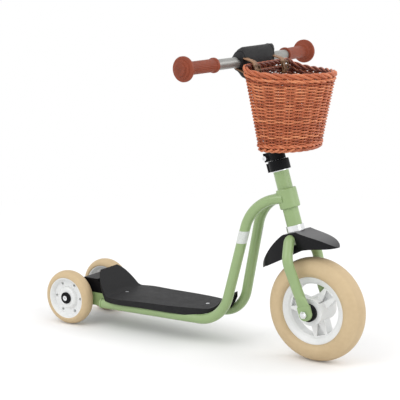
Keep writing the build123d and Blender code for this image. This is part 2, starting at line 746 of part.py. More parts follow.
# ---- rear wheels: solid tyre, dished disc rim with a ring of holes, two ball bearings ---------
rear_axle_end = rear_track / 2 + rear_boss_half_width
rear_hub_bearing = rear_boss_half_width - bearing_width
for side, name in sides:
    hub = wheel_plane(rear_axle_x, side * rear_track / 2, rear_wheel_radius)
    spin = Axis(hub.origin, hub.z_dir)
    with BuildPart() as rear_tyre:
        with BuildSketch(Plane(origin=hub.origin)):
            with BuildLine():
                bulge = rear_tyre_half_width * 0.78
                side_radius = rear_wheel_radius - bulge
                crown = EllipticalCenterArc(
                    (side_radius, 0), bulge, rear_tyre_half_width, start_angle=-90, arc_size=180
                )
                Polyline(
                    crown @ 1,
                    (rear_rim_edge_radius, rear_rim_edge_half_width + 0.6),
                    (rear_rim_seat_radius, rear_rim_edge_half_width - 3),
                    (rear_rim_seat_radius, 3 - rear_rim_edge_half_width),
                    (rear_rim_edge_radius, -rear_rim_edge_half_width - 0.6),
                    crown @ 0,
                )
            make_face()
        revolve(axis=spin)
    rear_tyre.part.label = f"rear_tyre_{name}"
    export_step(rear_tyre.part, f"parts/rear_tyre_{name}.step")

    with BuildPart() as rear_rim:
        outline = []
        for facing in (1, -1):
            half = [
                (rear_rim_seat_radius, rear_rim_edge_half_width - 3),
                (rear_rim_edge_radius - 0.6, rear_rim_edge_half_width),
                (rear_rim_edge_radius - 3, rear_rim_edge_half_width - 0.6),
                (rear_rim_edge_radius - 7, 6.5),
                (rear_hole_circle + rear_hole_radius + 1, 4.2),
                (rear_boss_radius, 4.2),
                (rear_boss_radius - 2, rear_boss_half_width - 2.5),
                (rear_boss_radius - 5, rear_boss_half_width),
                (0, rear_boss_half_width),
            ]
            outline += [(r, facing * h) for r, h in (half if facing == 1 else reversed(half))]
        turned(hub, outline)
        ring(hub, 0, bearing_outer_radius, rear_hub_bearing, rear_boss_half_width + 1, Mode.SUBTRACT)
        ring(hub, 0, bearing_outer_radius, -rear_boss_half_width - 1, -rear_hub_bearing, Mode.SUBTRACT)
        ring(hub, 0, bearing_outer_radius - 2, -rear_hub_bearing, rear_hub_bearing, Mode.SUBTRACT)
        with Locations(hub):
            with PolarLocations(rear_hole_circle, rear_hole_count):
                Hole(rear_hole_radius)
    rear_rim.part.label = f"rear_rim_{name}"
    export_step(rear_rim.part, f"parts/rear_rim_{name}.step")

    with BuildPart() as rear_bearings:
        bearing_pair(hub, rear_boss_half_width)
    rear_bearings.part.label = f"rear_bearings_{name}"
    export_step(rear_bearings.part, f"parts/rear_bearings_{name}.step")

    with BuildPart() as rear_hub_sleeve:
        ring(hub, axle_radius + running_clearance, sleeve_radius, -rear_hub_bearing, rear_hub_bearing)
    rear_hub_sleeve.part.label = f"rear_hub_sleeve_{name}"
    export_step(rear_hub_sleeve.part, f"parts/rear_hub_sleeve_{name}.step")

# ---- rear axle: one rod, a spacer beside each arm, and a washer and socket screw at each end --
rear_axle = wheel_plane(rear_axle_x, 0, rear_wheel_radius)
tapped_radius = 2.5
tapped_depth = 14.0
with BuildPart() as rear_axle_rod:
    ring(rear_axle, 0, axle_radius, -rear_axle_end, rear_axle_end)
    ring(rear_axle, 0, tapped_radius, rear_axle_end - tapped_depth, rear_axle_end + 1, Mode.SUBTRACT)
    ring(rear_axle, 0, tapped_radius, -rear_axle_end - 1, tapped_depth - rear_axle_end, Mode.SUBTRACT)
rear_axle_rod.part.label = "rear_axle"
export_step(rear_axle_rod.part, "parts/rear_axle.step")

with BuildPart() as rear_axle_spacers:
    for facing in (1, -1):
        ring(rear_axle, axle_radius, sleeve_radius, facing * bracket_arm_outside,
             facing * (rear_track / 2 - rear_boss_half_width))
rear_axle_spacers.part.label = "rear_axle_spacers"
export_step(rear_axle_spacers.part, "parts/rear_axle_spacers.step")

washer_thickness = 2.0
washer_dish = 3.4
with BuildPart() as rear_washers:
    for facing in (1, -1):
        turned(rear_axle, [
            (tapped_radius, facing * rear_axle_end), (sleeve_radius, facing * rear_axle_end),
            (sleeve_radius, facing * (rear_axle_end + 0.4)), (rear_washer_radius, facing * (rear_axle_end + 0.4)),
            (rear_washer_radius, facing * (rear_axle_end + washer_dish - 0.8)),
            (rear_washer_radius - 1, facing * (rear_axle_end + washer_dish)),
            (6.2, facing * (rear_axle_end + washer_dish)), (6.2, facing * (rear_axle_end + washer_thickness)),
            (tapped_radius, facing * (rear_axle_end + washer_thickness)),
        ])
rear_washers.part.label = "rear_washers"
export_step(rear_washers.part, "parts/rear_washers.step")

with BuildPart() as rear_axle_screws:
    for facing in (1, -1):
        head_low = rear_axle_end + washer_thickness
        ring(rear_axle, 0, tapped_radius, facing * (rear_axle_end - tapped_depth + 1), facing * head_low)
        ring(rear_axle, 0, 5.2, facing * head_low, facing * (head_low + 3.2))
        with BuildSketch(rear_axle.offset(facing * (head_low + 3.2))):
            RegularPolygon(2.2, 6, major_radius=False)
        extrude(amount=-facing * 2.4, mode=Mode.SUBTRACT)
rear_axle_screws.part.label = "rear_axle_screws"
export_step(rear_axle_screws.part, "parts/rear_axle_screws.step")

# ---- deck: moulded footboard with a heel plate, a skirt and a lip curled up between the tubes -
heel_top_x = rear_axle_x + heel_top_ahead
heel_foot_x = rear_axle_x + heel_foot_ahead
deck_corner_x = head_joint_x - deck_corner_back
deck_lip_x = head_joint_x - deck_lip_back


def deck_height(x):
    """Height of the deck's top over a place along its flat part."""
    share = (x - heel_foot_x) / (deck_corner_x - heel_foot_x)
    return deck_rear_height + (deck_front_height - deck_rear_height) * share


def deck_section(drop, underside):
    """Side section of the deck from its top line, lowered by drop, to the points of an underside."""
    with BuildSketch(Plane.XZ) as section:
        with BuildLine():
            top = FilletPolyline(
                (heel_top_x, heel_top_height - drop),
                (heel_foot_x, deck_rear_height - drop),
                (deck_corner_x, deck_front_height - drop),
                (deck_lip_x + 1, deck_lip_height - drop),
                radius=(16, 30),
            )
            Polyline(top @ 1, *underside, top @ 0)
        make_face()
    return section.sketch


def deck_plan(inset):
    """Plan outline of the deck: widest at the heel, narrowing to the lip between the tubes."""
    with BuildSketch() as plan:
        with BuildLine():
            edge = Spline(
                (heel_top_x - 1, 0), (heel_top_x + 1, 30 - inset), (heel_top_x + 8, 41 - inset),
                (heel_top_x + 20, 51 - inset), (heel_foot_x + 4, 59 - inset), (heel_foot_x + 22, 63.5 - inset),
                (heel_foot_x + 66, 61 - inset), (deck_corner_x - 94, 54.5 - inset), (deck_corner_x - 34, 45 - inset),
                (deck_corner_x - 8, 36 - inset), (deck_corner_x + 6, 28 - inset), (deck_lip_x, 22 - inset),
                (deck_lip_x + 1.5, 0),
            )
            mirror(edge, about=Plane.XZ)
        make_face()
    return plan.sketch


brace_places = (("rear", heel_foot_x + 10), ("front", deck_corner_x - 36))
screw_depth = 12.0
screw_head_radius = 5.0
screw_head_height = 1.4

with BuildPart() as tube_clearance:
    for side, name in sides:
        section, route = tube_along(
            frame_route(side), (lower_bend_radius, upper_bend_radius), frame_tube_radius + free_gap, 0
        )
        sweep(section, path=route)

with BuildPart() as deck_hollow:
    extrude(deck_section(deck_skin, [(deck_lip_x + 1, 0), (heel_top_x, 0)]), amount=rear_track, both=True)
    extrude(deck_plan(deck_skirt), amount=2 * heel_top_height, mode=Mode.INTERSECT)

with BuildPart() as deck:
    underside = [
        (deck_lip_x + 1, deck_lip_height - deck_rim),
        (deck_corner_x + 3, deck_front_height - deck_rim),
        (deck_corner_x - 17, deck_skirt_low),
        (heel_foot_x - 2, deck_skirt_low),
        (heel_top_x, heel_top_height - deck_rim),
    ]
    extrude(deck_section(0, underside), amount=rear_track, both=True)
    extrude(deck_plan(0), amount=2 * heel_top_height, mode=Mode.INTERSECT)
    add(deck_hollow.part, mode=Mode.SUBTRACT)
    add(tube_clearance.part, mode=Mode.SUBTRACT)
    for name, place in brace_places:
        seat = Plane(origin=(place, 0, deck_height(place) - screw_head_height - 0.3))
        ring(seat, 0, screw_radius, -screw_depth, screw_depth, Mode.SUBTRACT)
        ring(seat, 0, screw_head_radius + free_gap, 0, screw_depth, Mode.SUBTRACT)
deck.part.label = "deck"
export_step(deck.part, "parts/deck.step")

# ---- deck braces: flat bars under the deck, welded across the tubes, tapped for the screws -----
brace_thickness = 3.0
for name, place in brace_places:
    top = deck_height(place) - deck_skin
    slope = math.degrees(math.atan2(deck_front_height - deck_rear_height, deck_corner_x - heel_foot_x))
    with BuildPart() as deck_brace:
        with BuildSketch(Plane(origin=(place, 0, top)).rotated((0, -slope, 0)).offset(-0.15)):
            Rectangle(brace_width, 2 * (tube_reach(place) - deck_skirt))
        extrude(amount=-brace_thickness)
        ring(Plane(origin=(place, 0, top)), 0, screw_radius, -screw_depth, screw_depth, Mode.SUBTRACT)
        for side, tube_name in sides:
            section, route = tube_along(
                frame_route(side), (lower_bend_radius, upper_bend_radius), frame_tube_radius, 0
            )
            sweep(section, path=route, mode=Mode.SUBTRACT)
    deck_brace.part.label = f"deck_brace_{name}"
    export_step(deck_brace.part, f"parts/deck_brace_{name}.step")

with BuildPart() as deck_screws:
    for name, place in brace_places:
        stand = Plane(origin=(place, 0, deck_height(place) - screw_head_height - 0.3))
        ring(stand, 0, screw_radius, -screw_depth, 0)
        turned(stand, [
            (0, 0), (screw_head_radius, 0), (screw_head_radius - 1.6, screw_head_height),
            (2, screw_head_height), (2, 0.5), (0, 0.5),
        ])
deck_screws.part.label = "deck_screws"
export_step(deck_screws.part, "parts/deck_screws.step")

# ---- axle cover: a black shell over the rear bracket, behind the heel plate --------------------
cover_skin = 2.5
cover_half_width = 43.0
cover_top_height = 98.0
cover_base = rear_wheel_radius + bracket_half_height - 1
heel_slope = (heel_top_height - deck_rim - deck_skirt_low) / (heel_foot_ahead - 2 - heel_top_ahead)


def axle_cover_form(inset):
    """Side outline of the axle cover: it rises from behind the axle to the back of the heel plate."""
    rear = rear_axle_x - bracket_half_height + inset
    under_heel = deck_rim + free_gap + inset
    top = cover_top_height - inset
    low = cover_base - 2 * inset
    front = heel_top_x + (heel_top_height - under_heel - cover_base - 2) / heel_slope
    front_top = heel_top_x + (heel_top_height - under_heel - top) / heel_slope
    with BuildSketch(Plane.XZ) as section:
        with BuildLine():
            slope = FilletPolyline(
                (rear, cover_base + 2), (rear_axle_x + 22, top), (front_top, top), (front, cover_base + 2),
                radius=(14, 6),
            )
            Polyline(slope @ 1, (front, low), (rear, low), slope @ 0)
        make_face()
    return section.sketch


with BuildPart() as axle_cover:
    extrude(axle_cover_form(0), amount=cover_half_width, both=True)
    extrude(axle_cover_form(cover_skin), amount=cover_half_width - cover_skin, both=True, mode=Mode.SUBTRACT)
axle_cover.part.label = "axle_cover"
export_step(axle_cover.part, "parts/axle_cover.step")

# ---- stem clamp: a split black collar round the steerer's slotted top, with its bolt and nut ---
ear_reach = 11.0
ear_half_width = 8.0
slit_half_width = 1.2
bolt_radius = 2.5
bolt_behind = clamp_radius + ear_reach / 2
bolt_level = head_tube_end + clamp_low + clamp_height * 0.45
clamp_base = steering_plane(head_tube_end + clamp_low)
bolt_line = Plane(
    origin=steering_plane(bolt_level).origin - steering_plane(0).x_dir * bolt_behind,
    x_dir=steering_plane(0).x_dir,
    z_dir=(0, 1, 0),
)
with BuildPart() as stem_clamp:
    with BuildSketch(clamp_base):
        Circle(clamp_radius)
        with Locations((-clamp_radius - ear_reach / 2 + 2, 0)):
            RectangleRounded(ear_reach + 4, 2 * ear_half_width, 3)
        Circle(steerer_radius + press_gap, mode=Mode.SUBTRACT)
        with Locations((-clamp_radius - ear_reach / 2, 0)):
            Rectangle(2 * ear_reach + 10, 2 * slit_half_width, mode=Mode.SUBTRACT)
    extrude(amount=clamp_height)
    ring(bolt_line, 0, bolt_radius, -2 * ear_half_width, 2 * ear_half_width, Mode.SUBTRACT)
stem_clamp.part.label = "stem_clamp"
export_step(stem_clamp.part, "parts/stem_clamp.step")

bolt_head_radius = 4.6
with BuildPart() as clamp_bolt:
    ring(bolt_line, 0, bolt_radius, -ear_half_width, ear_half_width + 5)
    ring(bolt_line, 0, bolt_head_radius, -ear_half_width - 6, -ear_half_width)
    with BuildSketch(bolt_line.offset(-ear_half_width - 6)):
        RegularPolygon(2.2, 6, major_radius=False)
    extrude(amount=3.5, mode=Mode.SUBTRACT)
clamp_bolt.part.label = "clamp_bolt"
export_step(clamp_bolt.part, "parts/clamp_bolt.step")

with BuildPart() as clamp_nut:
    with BuildSketch(bolt_line.offset(ear_half_width)):
        RegularPolygon(4.6, 6, major_radius=False)
        Circle(bolt_radius, mode=Mode.SUBTRACT)
    extrude(amount=4.2)
clamp_nut.part.label = "clamp_nut"
export_step(clamp_nut.part, "parts/clamp_nut.step")

# ---- handlebar: a stem that slides in the steerer, and a bar swept back a little at its ends ---
bar_x = steering_x(bar_height)
bar = wheel_plane(bar_x, 0, bar_height)
bar_route = [
    (bar_x - bar_sweep, -bar_half_length, bar_height),
    (bar_x, -bar_straight, bar_height),
    (bar_x, bar_straight, bar_height),
    (bar_x - bar_sweep, bar_half_length, bar_height),
]
stem_foot = steering_plane(steerer_top - stem_insertion)
stem_length = (bar.origin - stem_foot.origin).length
with BuildPart() as stem:
    ring(stem_foot, stem_radius - stem_wall, stem_radius, 0, stem_length)
    ring(bar, 0, bar_radius, -2 * bar_radius, 2 * bar_radius, Mode.SUBTRACT)
stem.part.label = "stem"
export_step(stem.part, "parts/stem.step")

with BuildPart() as handlebar:
    section, route = tube_along(bar_route, bar_bend_radius, bar_radius, bar_wall)
    sweep(section, path=route)
handlebar.part.label = "handlebar"
export_step(handlebar.part, "parts/handlebar.step")

# ---- grips: rubber sleeves with a collar inside and a wide stop flange outside -----------------
def grip_plane(side):
    """Plane of a grip's outline: its Y runs along the swept end and reaches the bar's end there."""
    along = Vector(-side * bar_sweep, bar_half_length - bar_straight, 0).normalized()
    end = Vector(bar_x - bar_sweep, side * bar_half_length, bar_height)
    return Plane(origin=end - along * side * bar_half_length, x_dir=along.cross(Vector(0, 0, 1)), z_dir=(0, 0, 1))


for side, name in sides:
    with BuildPart() as grip:
        with BuildSketch(grip_plane(side)):
            with BuildLine():
                collar_end = grip_inner_end + 5.0
                flange_start = bar_half_length - 7.0
                outline = FilletPolyline(
                    (bar_radius, side * grip_inner_end), (grip_collar_radius, side * grip_inner_end),
                    (grip_collar_radius, side * collar_end), (grip_radius, side * (collar_end + 1.5)),
                    (grip_radius, side * (flange_start - 3)), (grip_radius + 3, side * flange_start),
                    (grip_flange_radius, side * (flange_start + 1.5)), (grip_flange_radius, side * (flange_start + 7)),
                    (17, side * (flange_start + 8)), (16.5, side * (flange_start + 11)),
                    (12.5, side * (flange_start + 12)), (12, side * (grip_end - 0.6)), (11, side * grip_end),
                    (0, side * grip_end),
                    radius=(1.2, 1.2, 1, 4, 2, 1.5, 1.5, 0.6, 0.6, 0.6, 0.6, 0.4),
                )
                Polyline(outline @ 1, (0, side * bar_half_length), (bar_radius, side * bar_half_length), outline @ 0)
            make_face()
        revolve(axis=Axis(grip_plane(side).origin, grip_plane(side).y_dir))
    grip.part.label = f"grip_{name}"
    export_step(grip.part, f"parts/grip_{name}.step")

# ---- basket: a D-shaped wicker basket with a flat back and a rim that dips towards the front ---
clamp_front = steering_plane(head_tube_end + clamp_low + clamp_height)
clamp_top_height = (clamp_front.origin + clamp_front.x_dir * clamp_radius).Z
basket_rim_height = bar_height + basket_over_bar
basket_bottom_height = clamp_top_height + basket_clamp_gap
rim_front_height = basket_rim_height - basket_rim_drop
rim_back_x = bar_x + basket_back_gap
rim_front_x = rim_back_x + basket_top_depth
bottom_back_x = steering_x(basket_bottom_height) + stem_radius / math.cos(lean) + basket_stem_gap
bottom_front_x = bottom_back_x + basket_bottom_depth


basket_rise = basket_rim_height - basket_bottom_height


def basket_outline(share, inset):
    """Flat back, rounded corners and an elliptical front, at a share of the way up the wall."""
    radius = basket_corner_radius
    back = Vector(
        bottom_back_x + (rim_back_x - bottom_back_x) * share,
        0,
        basket_bottom_height + basket_rise * share,
    )
    front = Vector(
        bottom_front_x + (rim_front_x - bottom_front_x) * share,
        0,
        basket_bottom_height + (basket_rise - basket_rim_drop) * share,
    )
    depth = (front - back).length
    half_width = basket_bottom_half_width + (basket_top_half_width - basket_bottom_half_width) * share - inset
    lie = Plane(origin=back, x_dir=front - back, z_dir=(front - back).cross(Vector(0, 1, 0)))
    with BuildSketch(lie) as outline:
        with BuildLine():
            middle = inset + radius
            spine = Line((inset, -half_width + radius), (inset, half_width - radius))
            left = RadiusArc(spine @ 1, (middle, half_width), radius)
            right = RadiusArc((middle, -half_width), spine @ 0, radius)
            EllipticalCenterArc((middle, 0), depth - inset - middle, half_width, start_angle=-90, arc_size=180)
        make_face()
    return outline.sketch


def basket_form(profile):
    """Solid of the basket's shape, from pairs of share up the wall and inset all round."""
    with BuildPart(mode=Mode.PRIVATE) as form:
        loft([basket_outline(share, inset) for share, inset in profile], ruled=True)
    return form.part


def woven_profile():
    """Outside of the wall, from the foot's roll over the rows of cane to the border's roll."""
    chamfer = basket_row_groove / basket_rise
    low = basket_foot_height / basket_rise
    high = 1 - basket_border_height / basket_rise
    rows = round((high - low) * basket_rise / basket_row_pitch)
    profile = [(0, basket_row_groove), (chamfer, 0), (low - chamfer, 0), (low, basket_row_groove)]
    for row in range(rows):
        crest = low + (high - low) * (row + 0.5) / rows
        groove = low + (high - low) * (row + 1) / rows
        profile += [(crest, 0), (groove, basket_row_groove)]
    return profile + [(high + chamfer, 0), (1, 0)]


strap_window_height = 12.0
strap_drop = 27.0             # middle of the windows below the rim


def back_x(height):
    """X of the basket's flat back, outside, at a level."""
    share = (height - basket_bottom_height) / (basket_rim_height - basket_bottom_height)
    return bottom_back_x + (rim_back_x - bottom_back_x) * share


over_rim = 3 * basket_rim_drop
with BuildPart() as basket:
    add(basket_form(woven_profile()))
    floor_share = basket_floor / basket_rise
    add(basket_form([(floor_share, basket_wall), (1 + floor_share, basket_wall)]), mode=Mode.SUBTRACT)
    with BuildSketch(Plane.XZ):
        with BuildLine():
            dip = Bezier(
                (rim_back_x, basket_rim_height),
                ((rim_back_x + rim_front_x) / 2, rim_front_height),
                (rim_front_x + basket_wall, rim_front_height),
            )
            Polyline(dip @ 1, (dip @ 1) + (0, over_rim), (dip @ 0) + (0, over_rim), dip @ 0)
        make_face()
    extrude(amount=basket_top_depth, both=True, mode=Mode.SUBTRACT)
    with BuildSketch(Plane.YZ.offset(back_x(basket_rim_height - strap_drop) + basket_wall / 2)):
        for side, name in sides:
            with Locations((side * strap_place, basket_rim_height - strap_drop)):
                RectangleRounded(strap_width + 3, strap_window_height, 2)
    extrude(amount=2 * basket_wall, both=True, mode=Mode.SUBTRACT)
basket.part.label = "basket"
export_step(basket.part, "parts/basket.step")

# ---- straps: leather loops round the bar, over the basket's rim and back through its windows ----
window_level = basket_rim_height - strap_drop
rim_core = basket_wall / 2 + 1
rim_hold = math.hypot(basket_wall / 2, rim_core) + free_gap
window_hold = 3.0


def strap_form(skin):
    """Side outline of a strap's loop, grown by a skin from the leather's inner face."""
    with BuildSketch(Plane.XZ) as loop:
        with Locations((bar_x, bar_height)):
            Circle(bar_radius + free_gap + skin)
        with Locations((back_x(basket_rim_height) + basket_wall / 2, basket_rim_height - rim_core)):
            Circle(rim_hold + skin)
        with Locations((back_x(window_level) + basket_wall - window_hold / 2, window_level + window_hold)):
            Circle(window_hold + skin)
        make_hull()
    return loop.sketch


with BuildPart() as straps:
    for side, name in sides:
        place = Vector(0, side * strap_place, 0)
        outer = strap_form(strap_thickness).moved(Location(place))
        inner = strap_form(0).moved(Location(place))
        extrude(outer, amount=strap_width / 2, both=True)
        extrude(inner, amount=strap_width / 2, both=True, mode=Mode.SUBTRACT)
straps.part.label = "basket_straps"
export_step(straps.part, "parts/basket_straps.step")

buckle_height = 17.0
buckle_bar = 2.0
strap_fronts = straps.faces().filter_by(GeomType.PLANE).filter_by(lambda f: f.normal_at().X > 0.9)
strap_fronts = strap_fronts.group_by(Axis.X)[-1]
with BuildPart() as strap_buckles:
    for front in strap_fronts:
        with BuildSketch(Plane(front, x_dir=(0, 1, 0)).offset(free_gap)):
            RectangleRounded(strap_width + 7, buckle_height, 3)
            RectangleRounded(strap_width + 7 - 2 * buckle_bar, buckle_height - 2 * buckle_bar, 2, mode=Mode.SUBTRACT)
            Rectangle(strap_width + 7 - 2 * buckle_bar, buckle_bar)
        extrude(amount=buckle_bar)
strap_buckles.part.label = "strap_buckles"
export_step(strap_buckles.part, "parts/strap_buckles.step")

# ---- handlebar pad: a padded wrap over the bar, with a flap that narrows down the stem ---------
pad_back = 15.5               # its back, front and underside, from the bar's middle
pad_front = 20.0
pad_under = 6.0
pad_round = 3.5
flap_lengths = (7.0, 30.0, 48.0)      # down the stem from the bar: wide edge, corners, lower end
flap_half_widths = (pad_half_length, 38.0, 18.0)
flap_half_depth = 13.0
with BuildPart() as strap_room:
    for side, name in sides:
        extrude(
            strap_form(strap_thickness + 2 * free_gap).moved(Location((0, side * strap_place, 0))),
            amount=strap_width / 2 + 2 * free_gap,
            both=True,
        )
with BuildPart() as bar_room:
    section, route = tube_along(bar_route, bar_bend_radius, bar_radius + free_gap, 0)
    sweep(section, path=route)

with BuildPart() as handlebar_pad:
    with BuildSketch(Plane.XZ):
        with BuildLine():
            x, z = bar_x, bar_height
            Polyline(
                (x - pad_back + 2.5, z - pad_under), (x - pad_back, z + pad_under), (x - 9, z + pad_top - 4),
                (x, z + pad_top), (x + 11, z + pad_top - 5), (x + pad_front - 1, z + 10),
                (x + pad_front, z - 2), (x + pad_front - 7.5, z - pad_under), close=True,
            )
        make_face()
    extrude(amount=pad_half_length, both=True)
    fillet(handlebar_pad.edges().filter_by(Axis.Y).sort_by(Axis.Z)[-6:], radius=pad_round)
    with BuildSketch(Plane(origin=bar.origin, x_dir=(0, 1, 0), z_dir=Vector(0, 1, 0).cross(stem_foot.z_dir))):
        with BuildLine():
            edge = Polyline(
                (0, 0), (flap_half_widths[0], 0), *[(wide, -down) for wide, down in zip(flap_half_widths, flap_lengths)],
                (0, -flap_lengths[-1]),
            )
            mirror(edge, about=Plane.YZ)
        make_face()
    extrude(amount=flap_half_depth, both=True)
    ring(stem_foot, 0, stem_radius + free_gap, 0, stem_length, Mode.SUBTRACT)
    add(bar_room.part, mode=Mode.SUBTRACT)
    add(strap_room.part, mode=Mode.SUBTRACT)
handlebar_pad.part.label = "handlebar_pad"
export_step(handlebar_pad.part, "parts/handlebar_pad.step")
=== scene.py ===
# %% [markdown]
# # A child's kick scooter
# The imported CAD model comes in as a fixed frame: tubes, wheels, deck and every screw are already
# real solids in metres, with X forward, Y to the rider's left and Z up. This lesson dresses them. Hard
# parts keep their CAD mesh and get a material. Woven, stitched and padded parts are built here by
# hand, because their look is in strands and cloth that a plain solid can't show.

# %%
import json
import math
import random
import bmesh
import bpy
from mathutils import Matrix, Quaternion, Vector
from mathutils.bvhtree import BVHTree


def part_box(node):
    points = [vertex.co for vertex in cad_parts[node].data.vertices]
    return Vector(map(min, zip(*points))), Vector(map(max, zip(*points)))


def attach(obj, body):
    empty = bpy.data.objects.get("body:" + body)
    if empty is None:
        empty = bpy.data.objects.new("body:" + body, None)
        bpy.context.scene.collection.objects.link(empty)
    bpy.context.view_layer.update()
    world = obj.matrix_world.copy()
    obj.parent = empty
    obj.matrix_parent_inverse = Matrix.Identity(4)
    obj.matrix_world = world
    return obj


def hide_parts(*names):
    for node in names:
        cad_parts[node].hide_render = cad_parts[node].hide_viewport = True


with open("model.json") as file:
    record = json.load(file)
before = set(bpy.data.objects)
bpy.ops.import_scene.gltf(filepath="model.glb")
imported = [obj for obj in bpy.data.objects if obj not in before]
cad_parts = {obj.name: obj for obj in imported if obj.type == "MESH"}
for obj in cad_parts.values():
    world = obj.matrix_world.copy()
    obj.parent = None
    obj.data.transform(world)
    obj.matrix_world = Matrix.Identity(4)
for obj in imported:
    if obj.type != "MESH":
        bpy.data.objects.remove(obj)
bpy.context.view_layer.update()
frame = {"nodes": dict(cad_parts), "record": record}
nodes = frame["nodes"]
random.seed(7)

# %% [markdown]
# ## Camera
# The reference view is a low three-quarter view from the scooter's right, taken with a long lens, so
# the wheels stay nearly parallel. A long lens far away gives that; a short one close up would swell
# the front wheel.

# %%
camera_data = bpy.data.cameras.new("camera")
camera_data.lens = 125.43
camera_data.sensor_width = 36
camera = bpy.data.objects.new("camera", camera_data)
bpy.context.scene.collection.objects.link(camera)
azimuth = math.radians(34.44)
elevation = math.radians(11.18)
camera.location = (1.50742, -2.21619, 0.81177)
behind = Vector((
    math.sin(azimuth) * math.cos(elevation),
    -math.cos(azimuth) * math.cos(elevation),
    math.sin(elevation),
))
camera.rotation_mode = "QUATERNION"
level = (-behind).to_track_quat("-Z", "Y")
camera.rotation_quaternion = level @ Quaternion((0, 0, 1), math.radians(-0.3))
camera_data.clip_end = 50
bpy.context.scene.camera = camera
bpy.context.scene.view_settings.view_transform = "Standard"

# %% [markdown]
# ## Floor and light
# A white studio sweep: the floor and the sky burn out to white and only a soft contact shadow stays.
# The key is a large panel high on the left, so the tubes carry one long highlight; a weaker panel on
# the right keeps the shaded side open.

# %%
floor_mesh = bpy.data.meshes.new("floor")
bm = bmesh.new()
bmesh.ops.create_grid(bm, x_segments=1, y_segments=1, size=2.4)
bm.to_mesh(floor_mesh)
bm.free()
floor = bpy.data.objects.new("floor", floor_mesh)
floor.location.z = -0.0002
bpy.context.scene.collection.objects.link(floor)

world = bpy.data.worlds.new("studio")
world.use_nodes = True
bpy.context.scene.world = world
tree = world.node_tree
background = tree.nodes["Background"]
background.inputs["Color"].default_value = (1, 1, 1, 1)
background.inputs["Strength"].default_value = 0.9
white = tree.nodes.new("ShaderNodeBackground")
white.inputs["Color"].default_value = (1, 1, 1, 1)
white.inputs["Strength"].default_value = 1
path = tree.nodes.new("ShaderNodeLightPath")
choose = tree.nodes.new("ShaderNodeMixShader")
seen = tree.nodes.new("ShaderNodeMath")
seen.operation = "MAXIMUM"
tree.links.new(path.outputs["Is Camera Ray"], seen.inputs[0])
tree.links.new(path.outputs["Is Glossy Ray"], seen.inputs[1])
tree.links.new(seen.outputs[0], choose.inputs[0])
tree.links.new(background.outputs[0], choose.inputs[1])
tree.links.new(white.outputs[0], choose.inputs[2])
tree.links.new(choose.outputs[0], tree.nodes["World Output"].inputs[0])


def panel(name, place, target, size, power):
    """A square area lamp that faces a target."""
    light = bpy.data.lights.new(name, "AREA")
    light.size = size
    light.energy = power
    lamp = bpy.data.objects.new(name, light)
    lamp.location = place
    lamp.rotation_euler = (Vector(target) - Vector(place)).to_track_quat("-Z", "Y").to_euler()
    bpy.context.scene.collection.objects.link(lamp)
    return lamp


panel("key", (-0.6, -2.3, 2.5), (0, 0, 0.25), 2.2, 28)
panel("fill", (2.8, -0.2, 1.8), (0.1, 0, 0.3), 1.8, 14)
panel("top", (0.0, 0.1, 3.0), (0, 0, 0.2), 4.2, 10)
panel("rim", (2.0, 1.7, 1.7), (0.15, 0, 0.45), 1.2, 14)
print("lamps: key, fill, top, rim")

# %% [markdown]
# ## Material helpers
# Each material is a Principled shader whose colour, roughness and bump come from nodes. `Nodes` adds
# a node and sets its sockets in one line, so the recipes below stay readable.

# %%


class Nodes:
    """Short way to build one node tree."""

    def __init__(self, tree):
        self.tree = tree

    def add(self, kind, **settings):
        made = self.tree.nodes.new("ShaderNode" + kind)
        for key, value in settings.items():
            setattr(made, key, value)
        return made

    def set(self, made, **values):
        for key, value in values.items():
            socket = made.inputs[key.replace("_", " ")]
            if isinstance(value, bpy.types.NodeSocket):
                self.tree.links.new(value, socket)
            else:
                socket.default_value = value
        return made

    def math(self, operation, first, second=0.0):
        made = self.add("Math", operation=operation)
        for slot, value in enumerate((first, second)):
            if isinstance(value, bpy.types.NodeSocket):
                self.tree.links.new(value, made.inputs[slot])
            else:
                made.inputs[slot].default_value = value
        return made.outputs[0]

    def noise(self, vector, scale, detail=3.0, rough=0.5):
        made = self.add("TexNoise")
        self.set(made, Vector=vector, Scale=scale, Detail=detail, Roughness=rough)
        return made.outputs[0]

    def between(self, value, low, high, to_low=0.0, to_high=1.0):
        made = self.add("MapRange")
        self.set(made, Value=value, From_Min=low, From_Max=high, To_Min=to_low, To_Max=to_high)
        return made.outputs[0]

    def mix(self, share, first, second):
        made = self.add("Mix", data_type="RGBA")
        for slot, value in ((0, share), (6, first), (7, second)):
            if isinstance(value, bpy.types.NodeSocket):
                self.tree.links.new(value, made.inputs[slot])
            else:
                made.inputs[slot].default_value = value
        return made.outputs[2]

    def bump(self, height, strength, distance, normal=None):
        made = self.add("Bump")
        self.set(made, Height=height, Strength=strength, Distance=distance)
        if normal:
            self.tree.links.new(normal, made.inputs["Normal"])
        return made.outputs[0]


def group(name, inputs, outputs):
    """A node group with named sockets; returns the group, its nodes, its input and output nodes."""
    made = bpy.data.node_groups.new(name, "ShaderNodeTree")
    for label, kind in inputs:
        made.interface.new_socket(label, in_out="INPUT", socket_type=kind)
    for label, kind in outputs:
        made.interface.new_socket(label, in_out="OUTPUT", socket_type=kind)
    kit = Nodes(made)
    return made, kit, made.nodes.new("NodeGroupInput"), made.nodes.new("NodeGroupOutput")


